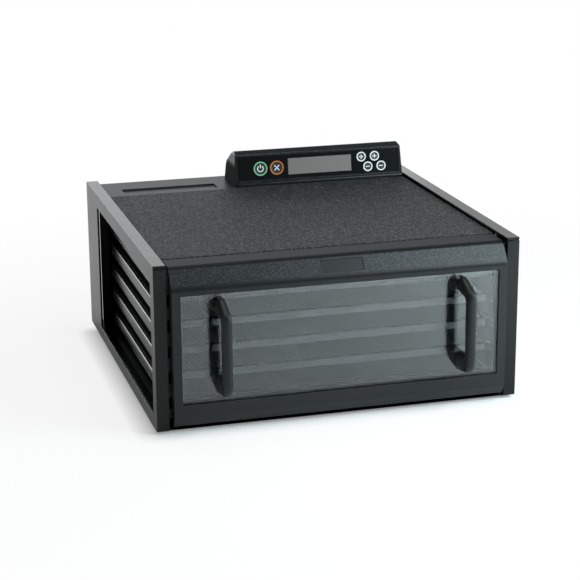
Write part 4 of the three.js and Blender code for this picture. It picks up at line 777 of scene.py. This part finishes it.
class DEHYDRATOR_OT_trays(bpy.types.Operator):
    """Finish the trays and lay a net of crossed strands in each"""

    bl_idname = "dehydrator.trays"
    bl_label = "Trays and screens"

    def execute(self, context):
        sizes, finishes = context.scene.dehydrator_screen, context.scene.dehydrator_finishes
        plastic = moulded("Tray polystyrene", finishes.tray_grey, 0.07, relief=0.000001, edge=0.0006,
                          drift=0.07, spec=0.8)
        net = soft_net("Screen polypropylene", finishes.screen_grey)
        for k, (low, high) in enumerate(TRAYS, 1):
            dress(plastic, f"tray_{k}")
            base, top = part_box(f"tray_screen_{k}")
            front, rear = low.y + sizes.margin, high.y - sizes.margin
            left, right = low.x + sizes.margin, high.x - sizes.margin
            radii = (sizes.front_radius, sizes.rear_radius)
            rows = np.arange(front + sizes.pitch / 2, rear, sizes.pitch)
            starts, ends = strand_rows(rows, left, right, front, rear, *radii)
            upper = strands(rows, starts, ends, top.z - sizes.across / 2, sizes.across, True)
            columns = np.arange(left + sizes.pitch / 2, right, sizes.pitch)
            inset = np.maximum(0, sizes.rear_radius - np.minimum(columns - left, right - columns))
            drawn = sizes.rear_radius - np.sqrt(np.maximum(sizes.rear_radius**2 - inset**2, 0))
            lower = strands(columns, np.full(len(columns), front), rear - drawn,
                            base.z + sizes.along / 2 - SEAT, sizes.along, False)
            piece(f"screen_net_{k}", [upper, lower], [net], f"tray_{k}_set",
                  [f"tray_screen_{k}"])
        return {"FINISHED"}


class DEHYDRATOR_OT_air_path(bpy.types.Operator):
    """Finish the air baffle, fan, heater and rear cover"""

    bl_idname = "dehydrator.air_path"
    bl_label = "Fan, heater and rear"

    def execute(self, context):
        black = context.scene.dehydrator_finishes.case_black
        dress(moulded("Baffle ABS", black, 0.45), "air_baffle")
        dress(moulded("Cover ABS", black, 0.42, grain=0.0008, relief=0.00003), "rear_cover")
        dress(moulded("Inlet nylon", linear("1c1d1f"), 0.35), "power_inlet")
        dress(metal("Zinc-plated steel", linear("b4b6b8"), 0.34, 0.002), "fan_panel", "thermal_cutout",
              "temperature_probe", *[f"handle_screw_{i}" for i in range(1, 5)],
              "hinge_pin_left", "hinge_pin_right")
        dress(metal("Pressed motor steel", linear("8f9193"), 0.3, 0.0012, (1, 12, 1)),
              "fan_motor", "fan_shaft")
        dress(metal("Mill-finish aluminium", linear("b9bcc0"), 0.38, 0.001, (1, 1, 9)), "fan_blade")
        dress(metal("Oxidised heater wire", linear("6b6763"), 0.55, 0.0008), "heater_coil")
        dress(mica_sheet("Pressed mica"), "heater_frame")
        return {"FINISHED"}


class DEHYDRATOR_OT_door(bpy.types.Operator):
    """Finish the door: moulded frame with a grained header, bare name plate, clear pane and seal"""

    bl_idname = "dehydrator.door"
    bl_label = "Door"

    def execute(self, context):
        sizes, tint = context.scene.dehydrator_door, context.scene.dehydrator_finishes.door_grey
        plate = (sizes.plate_half, DOOR_TOP - sizes.plate_low, DOOR_TOP - sizes.plate_high)
        dress(door_moulding("Door ABS", tint, DOOR_TOP - SLOPE_FOOT, DOOR_TOP - SLOPE_TOP,
                            FRAME_FRONT + SLOPE_REAR, plate), "door_frame")
        dress(clear_polycarbonate("Clear polycarbonate"), "door_window")
        dress(silicone("Seal silicone", linear("6d7175")), "door_gasket")
        return {"FINISHED"}


def bow_section(sizes, low, high, back):
    """Outer and inner line of the bow in the (y, z) plane, matched point by point.
    The outer line runs level from the upper foot, slants to the grip, drops straight and curls under the
    chin."""
    grip_back = low.y + sizes.grip_depth
    outer_corners = [
        (back, high.z), (back - sizes.shoulder, high.z, sizes.shoulder_radius),
        (low.y, high.z - sizes.crown_drop, sizes.kink_radius),
        (low.y, low.z + sizes.chin_rise, sizes.chin_radius), (back, low.z)]
    inner_corners = [
        (back, high.z - sizes.upper_foot),
        (grip_back, high.z - sizes.upper_foot - sizes.gap_taper, 0.008),
        (grip_back, low.z + sizes.lower_foot, 0.004), (back, low.z + sizes.lower_foot)]
    steps, count = 10, 73
    outer, inner = rounded(outer_corners, steps), rounded(inner_corners, steps)
    outer = along(outer, count, (0, 1 + steps + steps // 2, 1 + 2 * steps + steps // 2, len(outer) - 1))
    inner = along(inner, count, (0, 1 + steps // 2, 1 + steps + steps // 2, len(inner) - 1))
    return outer, inner


class DEHYDRATOR_OT_handles(bpy.types.Operator):
    """Sweep the two bow handles as superellipses between their outer and inner lines"""

    bl_idname = "dehydrator.handles"
    bl_label = "Handles"

    def execute(self, context):
        sizes = context.scene.dehydrator_handle
        black = moulded("Handle nylon", context.scene.dehydrator_finishes.handle_black, 0.46, grain=0.0012,
                        relief=0.00002, edge=0.0001, drift=0.1, spec=0.35)
        for side in ("left", "right"):
            low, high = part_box(f"handle_{side}")
            outer, inner = bow_section(sizes, low, high, high.y)
            middle, half = (outer + inner) / 2, (outer - inner) / 2
            angle = np.linspace(0, 2 * math.pi, 32, endpoint=False)
            power = 2 / sizes.roundness
            bow = np.sign(np.cos(angle)) * np.abs(np.cos(angle)) ** power
            beside = np.sign(np.sin(angle)) * np.abs(np.sin(angle)) ** power
            yz = middle[:, None] + half[:, None] * bow[None, :, None]
            x = (low.x + high.x) / 2 + sizes.grip_width / 2 * np.broadcast_to(beside, yz.shape[:2])
            rings = np.concatenate([x[..., None], yz], -1)
            piece(f"bow_{side}", [tube(rings)], [black], "door", [f"handle_{side}"],
                  smooth=50)
        return {"FINISHED"}


class DEHYDRATOR_OT_control_head(bpy.types.Operator):
    """Finish the control head, its overlay, display and board"""

    bl_idname = "dehydrator.control_head"
    bl_label = "Control head"

    def execute(self, context):
        finishes, sizes = context.scene.dehydrator_finishes, context.scene.dehydrator_case
        dress(head_moulding("Head ABS", finishes.case_black, HEAD_LOW.z + sizes.lip, HEAD_LOW.x),
              "control_housing")
        dress(moulded("Overlay polyester", finishes.overlay, 0.22, relief=0.000002, edge=0.0003, spec=0.2),
              "control_overlay")
        dress(unlit_display("Display film", finishes.display), "display_window", "lcd_module")
        dress(solder_mask("Solder mask"), "control_board")
        return {"FINISHED"}


def on_face(points, centre, across, up, out):
    """Carries points (across, up, out) onto the raked face: centre plus each amount times its direction."""
    return centre + points[:, :1] * across + points[:, 1:2] * up + points[:, 2:] * out


def bar(width, height, thickness, turn=0.0):
    """A flat bar on the face, turned about its middle."""
    points, faces = block((-width / 2, -height / 2, 0), (width / 2, height / 2, thickness))
    c, s = math.cos(turn), math.sin(turn)
    return points @ np.array([[c, s, 0], [-s, c, 0], [0, 0, 1]]), faces


def ring(radius, width, thickness, sides=40, start=0.0, sweep=2 * math.pi):
    """A flat ring or an arc of one, from a rectangular profile."""
    low, high = radius - width / 2, radius + width / 2
    return spun([(low, 0), (high, 0), (high, thickness), (low, thickness)], sides, start, sweep)


def symbol(kind, size, stroke, thickness):
    """Generic signs: power is an open ring with a bar, cancel a cross, up a plus and down a minus."""
    if kind == "power":
        arc = ring(size * 0.72, stroke, thickness, 28, math.radians(125), math.radians(290))
        stem = bar(stroke, size * 0.85, thickness)
        return [arc, (stem[0] + (0, size * 0.55, 0), stem[1])]
    if kind == "cancel":
        return [bar(size * 1.75, stroke, thickness, math.radians(turn)) for turn in (45, -45)]
    level = bar(size * 1.5, stroke, thickness)
    return [level, bar(stroke, size * 1.5, thickness)] if kind == "up" else [level]


KEYS = (
    ("button_start", "power", "power_ring"),
    ("button_stop", "cancel", "cancel_ring"),
    ("button_temp_up", "up", "legend"),
    ("button_time_up", "up", "legend"),
    ("button_temp_down", "down", "legend"),
    ("button_time_down", "down", "legend"),
)


CROWN_DEPTH = 0.0012  # a key's width is measured this far down from its face


class DEHYDRATOR_OT_keys(bpy.types.Operator):
    """Turn the six keys with their rings and symbols"""

    bl_idname = "dehydrator.keys"
    bl_label = "Keys"

    def execute(self, context):
        sizes, finishes = context.scene.dehydrator_key, context.scene.dehydrator_finishes
        press = next(j for j in frame["joints"] if j["name"].startswith("press_"))
        inward = np.array(press["axis"], float)
        out, across = -inward, np.array([1.0, 0, 0])
        up = np.cross(out, across)
        rubber = moulded("Key silicone", linear("16181a"), 0.5, relief=0.000006)
        white = print_ink("White ink", finishes.legend)
        inks = {"power_ring": print_ink("Green ink", finishes.power_ring),
                "cancel_ring": print_ink("Orange ink", finishes.cancel_ring), "legend": white}
        for name, kind, tone in KEYS:
            co = np.array([v.co for v in NODES[name].data.vertices])
            flat = np.stack([co @ across, co @ up, co @ out], -1)
            face = flat[:, 2].max()
            crown = flat[flat[:, 2] > face - CROWN_DEPTH]
            centre_2d = (crown[:, :2].min(0) + crown[:, :2].max(0)) / 2
            radius = (crown[:, 0].max() - crown[:, 0].min()) / 2
            centre = centre_2d[0] * across + centre_2d[1] * up + face * out
            depth = face - flat[:, 2].min()
            flange = (flat[:, 0].max() - flat[:, 0].min()) / 2
            edge = min(0.0004, radius / 8)
            axis, stem, ink = 1e-6, flange * 0.45, sizes.print_height * 2
            rear, front, face_z = -0.0052, -0.0042, -sizes.print_height
            body = rounded([(axis, -depth), (stem, -depth), (stem, rear), (flange, rear), (flange, front),
                            (radius, front, 0.0003), (radius, face_z, edge), (radius - 0.0014, face_z, 0.0006),
                            (radius - 0.0026, face_z - sizes.dish, 0.0008), (axis, face_z - sizes.dish)], 4)
            collar = ring(radius - edge - sizes.ring_width / 2, sizes.ring_width, ink, 48)
            collar[0][:, 2] -= ink
            shapes = [(*spun(body, 48), 0), (*collar, 1)]
            for points, faces in symbol(kind, radius * 0.56, sizes.stroke, ink):
                points[:, 2] -= sizes.print_height + sizes.dish
                shapes.append((points, faces, 2))
            placed = [(on_face(p, centre, across, up, out), f, n) for p, f, n in shapes]
            piece(name.replace("button", "key"), placed, [rubber, inks[tone], white], name + "_key",
                  [name])
        return {"FINISHED"}


class DEHYDRATOR_OT_stage(bpy.types.Operator):
    """Lay the pale floor, light it softly and place the camera"""

    bl_idname = "dehydrator.stage"
    bl_label = "Floor, lamps and camera"

    def execute(self, context):
        sizes = context.scene.dehydrator_stage
        self.floor(context, sizes.floor)
        self.sky(context)
        self.lamps(context)
        self.camera(context, sizes)
        context.scene.view_settings.view_transform = "Standard"
        return {"FINISHED"}

    def floor(self, context, reach):
        """A flat grid. The camera sees it as white paper, a little less close to the object, which keeps the
        object's shadow."""
        lines = 5
        steps = np.linspace(-reach, reach, lines)
        x, y = np.meshgrid(steps, steps, indexing="ij")
        mesh = bpy.data.meshes.new("floor")
        mesh.from_pydata(np.stack([x, y, np.zeros_like(x)], -1).reshape(-1, 3).tolist(), [],
                         grid_faces(lines, lines)[:, ::-1].tolist())
        ground = bpy.data.objects.new("floor", mesh)
        context.scene.collection.objects.link(ground)
        finish, tree, place = new_finish("Paper sweep")
        pale = add(tree, "BsdfDiffuse", {"Color": "f2f2f2"})
        white = add(tree, "Emission", {"Color": "ffffff", "Strength": 1.0})
        ray = add(tree, "LightPath")
        away = add(tree, "VectorMath", {0: place}, operation="LENGTH")
        bare = add(tree, "MapRange", {"Value": away.outputs["Value"], "From Min": 0.35, "From Max": 0.9,
                                      "To Min": 0.82, "To Max": 1.0})
        apart = add(tree, "VectorMath", {0: place}, operation="ABSOLUTE")
        apart = add(tree, "VectorMath", {0: apart.outputs[0], 1: (CAD_BOX[1][0], -FRAME_FRONT, 1.0)},
                    operation="SUBTRACT")
        apart = add(tree, "VectorMath", {0: apart.outputs[0], 1: (0, 0, 0)}, operation="MAXIMUM")
        apart = add(tree, "VectorMath", {0: apart.outputs[0]}, operation="LENGTH")
        near = add(tree, "MapRange", {"Value": apart.outputs["Value"], "From Max": 0.035, "To Min": 0.25,
                                      "To Max": 1.0})
        share = add(tree, "Math", {0: bare.outputs[0], 1: near.outputs[0]}, operation="MINIMUM")
        seen = add(tree, "Math", {0: ray.outputs["Is Camera Ray"], 1: share.outputs[0]}, operation="MULTIPLY")
        through = add(tree, "Math", {0: seen.outputs[0], 1: ray.outputs["Is Transmission Ray"]},
                      operation="MAXIMUM")
        both = add(tree, "MixShader", {0: through.outputs[0], 1: pale.outputs[0], 2: white.outputs[0]})
        surface(tree, both.outputs[0])
        mesh.materials.append(finish)

    def sky(self, context):
        """A dim, even sky that is white to the camera. Glossy surfaces see a bright wall low down at the rear
        and little elsewhere."""
        world = bpy.data.worlds.new("Studio")
        context.scene.world = world
        world.use_nodes = True
        tree = world.node_tree
        tree.nodes.clear()
        soft = add(tree, "Background", {"Color": "ffffff", "Strength": 0.3})
        ray = add(tree, "LightPath")
        toward = add(tree, "SeparateXYZ", {0: add(tree, "TexCoord").outputs["Generated"]})
        behind = add(tree, "MapRange", {"Value": toward.outputs["Y"], "From Min": -0.4, "From Max": 0.15})
        low_down = add(tree, "MapRange", {"Value": toward.outputs["Z"], "From Min": 0.4, "From Max": 0.7,
                                          "To Min": 1.0, "To Max": 0.12})
        wall = add(tree, "Math", {0: behind.outputs[0], 1: low_down.outputs[0]}, operation="MULTIPLY")
        dim = add(tree, "Math", {0: wall.outputs[0], 1: 0.12}, operation="MAXIMUM")
        strength = add(tree, "Math", {0: dim.outputs[0], 1: ray.outputs["Is Camera Ray"]},
                       operation="MAXIMUM")
        white = add(tree, "Background", {"Color": "ffffff", "Strength": strength.outputs[0]})
        seen = add(tree, "Math", {0: ray.outputs["Is Camera Ray"], 1: ray.outputs["Is Glossy Ray"]},
                   operation="MAXIMUM")
        through = add(tree, "Math", {0: seen.outputs[0], 1: ray.outputs["Is Transmission Ray"]},
                      operation="MAXIMUM")
        both = add(tree, "MixShader", {0: through.outputs[0], 1: soft.outputs[0], 2: white.outputs[0]})
        add(tree, "OutputWorld", {"Surface": both.outputs[0]})

    def lamps(self, context):
        """Rectangular lamps: name, place, target, width and height, watts and colour."""
        for name, place, target, size, power, tone in (
            ("Overhead", (0.05, 0.1, 1.8), (0.05, 0.1, 0.1), (0.9, 0.9), 11.0, "ffffff"),
            ("Right front", (0.8, -0.78, 1.0), (0.35, -0.45, 0.0), (0.7, 0.7), 10.5, "e8fbff"),
            ("Right low", (0.82, -0.66, 0.4), (0.4, -0.55, 0.0), (0.35, 0.35), 9.0, "e8fbff"),
            ("Rear left", (-0.75, 1.85, 0.65), (-0.2, 0.0, 0.1), (0.8, 0.5), 5.5, "f6fcff"),
            ("Rear right", (0.35, 1.9, 0.75), (0.0, 0.0, 0.19), (1.0, 0.5), 1.2, "f6fcff"),
        ):
            data = bpy.data.lights.new(name, "AREA")
            data.color = linear(tone)[:3]
            data.shape, data.size, data.size_y, data.energy = "RECTANGLE", size[0], size[1], power
            lamp = bpy.data.objects.new(name, data)
            context.scene.collection.objects.link(lamp)
            lamp.location = place
            away = np.array(place, float) - np.array(target, float)
            away /= np.linalg.norm(away)
            side = np.cross((0, 0, 1.0), away)
            side = side / np.linalg.norm(side) if np.linalg.norm(side) > 1e-6 else np.array([1.0, 0, 0])
            lamp.matrix_world = axes_matrix(side, np.cross(away, side), away, place)

    def camera(self, context, sizes):
        """The camera looks ahead, turned about the upright axis, tilted down and rolled about its own axis."""
        data = bpy.data.cameras.new("Camera")
        data.lens, data.sensor_width = sizes.lens, 36.0
        data.clip_start, data.clip_end = 0.05, 50.0
        camera = bpy.data.objects.new("Camera", data)
        context.scene.collection.objects.link(camera)
        a, e, r = sizes.turn, sizes.tilt, sizes.roll
        ahead = np.array([math.sin(a) * math.cos(e), math.cos(a) * math.cos(e), -math.sin(e)])
        right = np.array([math.cos(a), -math.sin(a), 0.0])
        up = np.cross(right, ahead)
        side, top = math.cos(r) * right + math.sin(r) * up, math.cos(r) * up - math.sin(r) * right
        place = np.array(sizes.place) + (0, FRAME_FRONT, 0)
        camera.matrix_world = axes_matrix(side, top, -ahead, place)
        context.scene.camera = camera


class DEHYDRATOR_PT_panel(bpy.types.Panel):
    """Lists the steps that dress the dehydrator"""

    bl_idname = "DEHYDRATOR_PT_panel"
    bl_label = "Food dehydrator"
    bl_space_type = "VIEW_3D"
    bl_region_type = "UI"
    bl_category = "Dehydrator"

    def draw(self, context):
        for step in STEPS:
            self.layout.operator(step.bl_idname)
        for name, group in GROUPS.items():
            box = self.layout.box()
            box.label(text=group.__name__)
            for key in group.__annotations__:
                box.prop(getattr(context.scene, name), key)


STEPS = (
    DEHYDRATOR_OT_case,
    DEHYDRATOR_OT_side_frames,
    DEHYDRATOR_OT_roof,
    DEHYDRATOR_OT_trays,
    DEHYDRATOR_OT_air_path,
    DEHYDRATOR_OT_door,
    DEHYDRATOR_OT_handles,
    DEHYDRATOR_OT_control_head,
    DEHYDRATOR_OT_keys,
    DEHYDRATOR_OT_stage,
)
GROUPS = {
    "dehydrator_case": CaseSizes,
    "dehydrator_handle": HandleSizes,
    "dehydrator_screen": ScreenSizes,
    "dehydrator_door": DoorSizes,
    "dehydrator_key": KeySizes,
    "dehydrator_finishes": Finishes,
    "dehydrator_stage": StageSizes,
}


def register():
    for kind in (*GROUPS.values(), *STEPS, DEHYDRATOR_PT_panel):
        bpy.utils.register_class(kind)
    for name, group in GROUPS.items():
        setattr(bpy.types.Scene, name, bpy.props.PointerProperty(type=group))


def unregister():
    for name in GROUPS:
        delattr(bpy.types.Scene, name)
    for kind in reversed((*GROUPS.values(), *STEPS, DEHYDRATOR_PT_panel)):
        bpy.utils.unregister_class(kind)


def main():
    """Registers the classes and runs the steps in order."""
    register()
    for step in STEPS:
        group, name = step.bl_idname.split(".")
        getattr(getattr(bpy.ops, group), name)()
    bpy.context.view_layer.update()


if __name__ == "__main__":
    main()
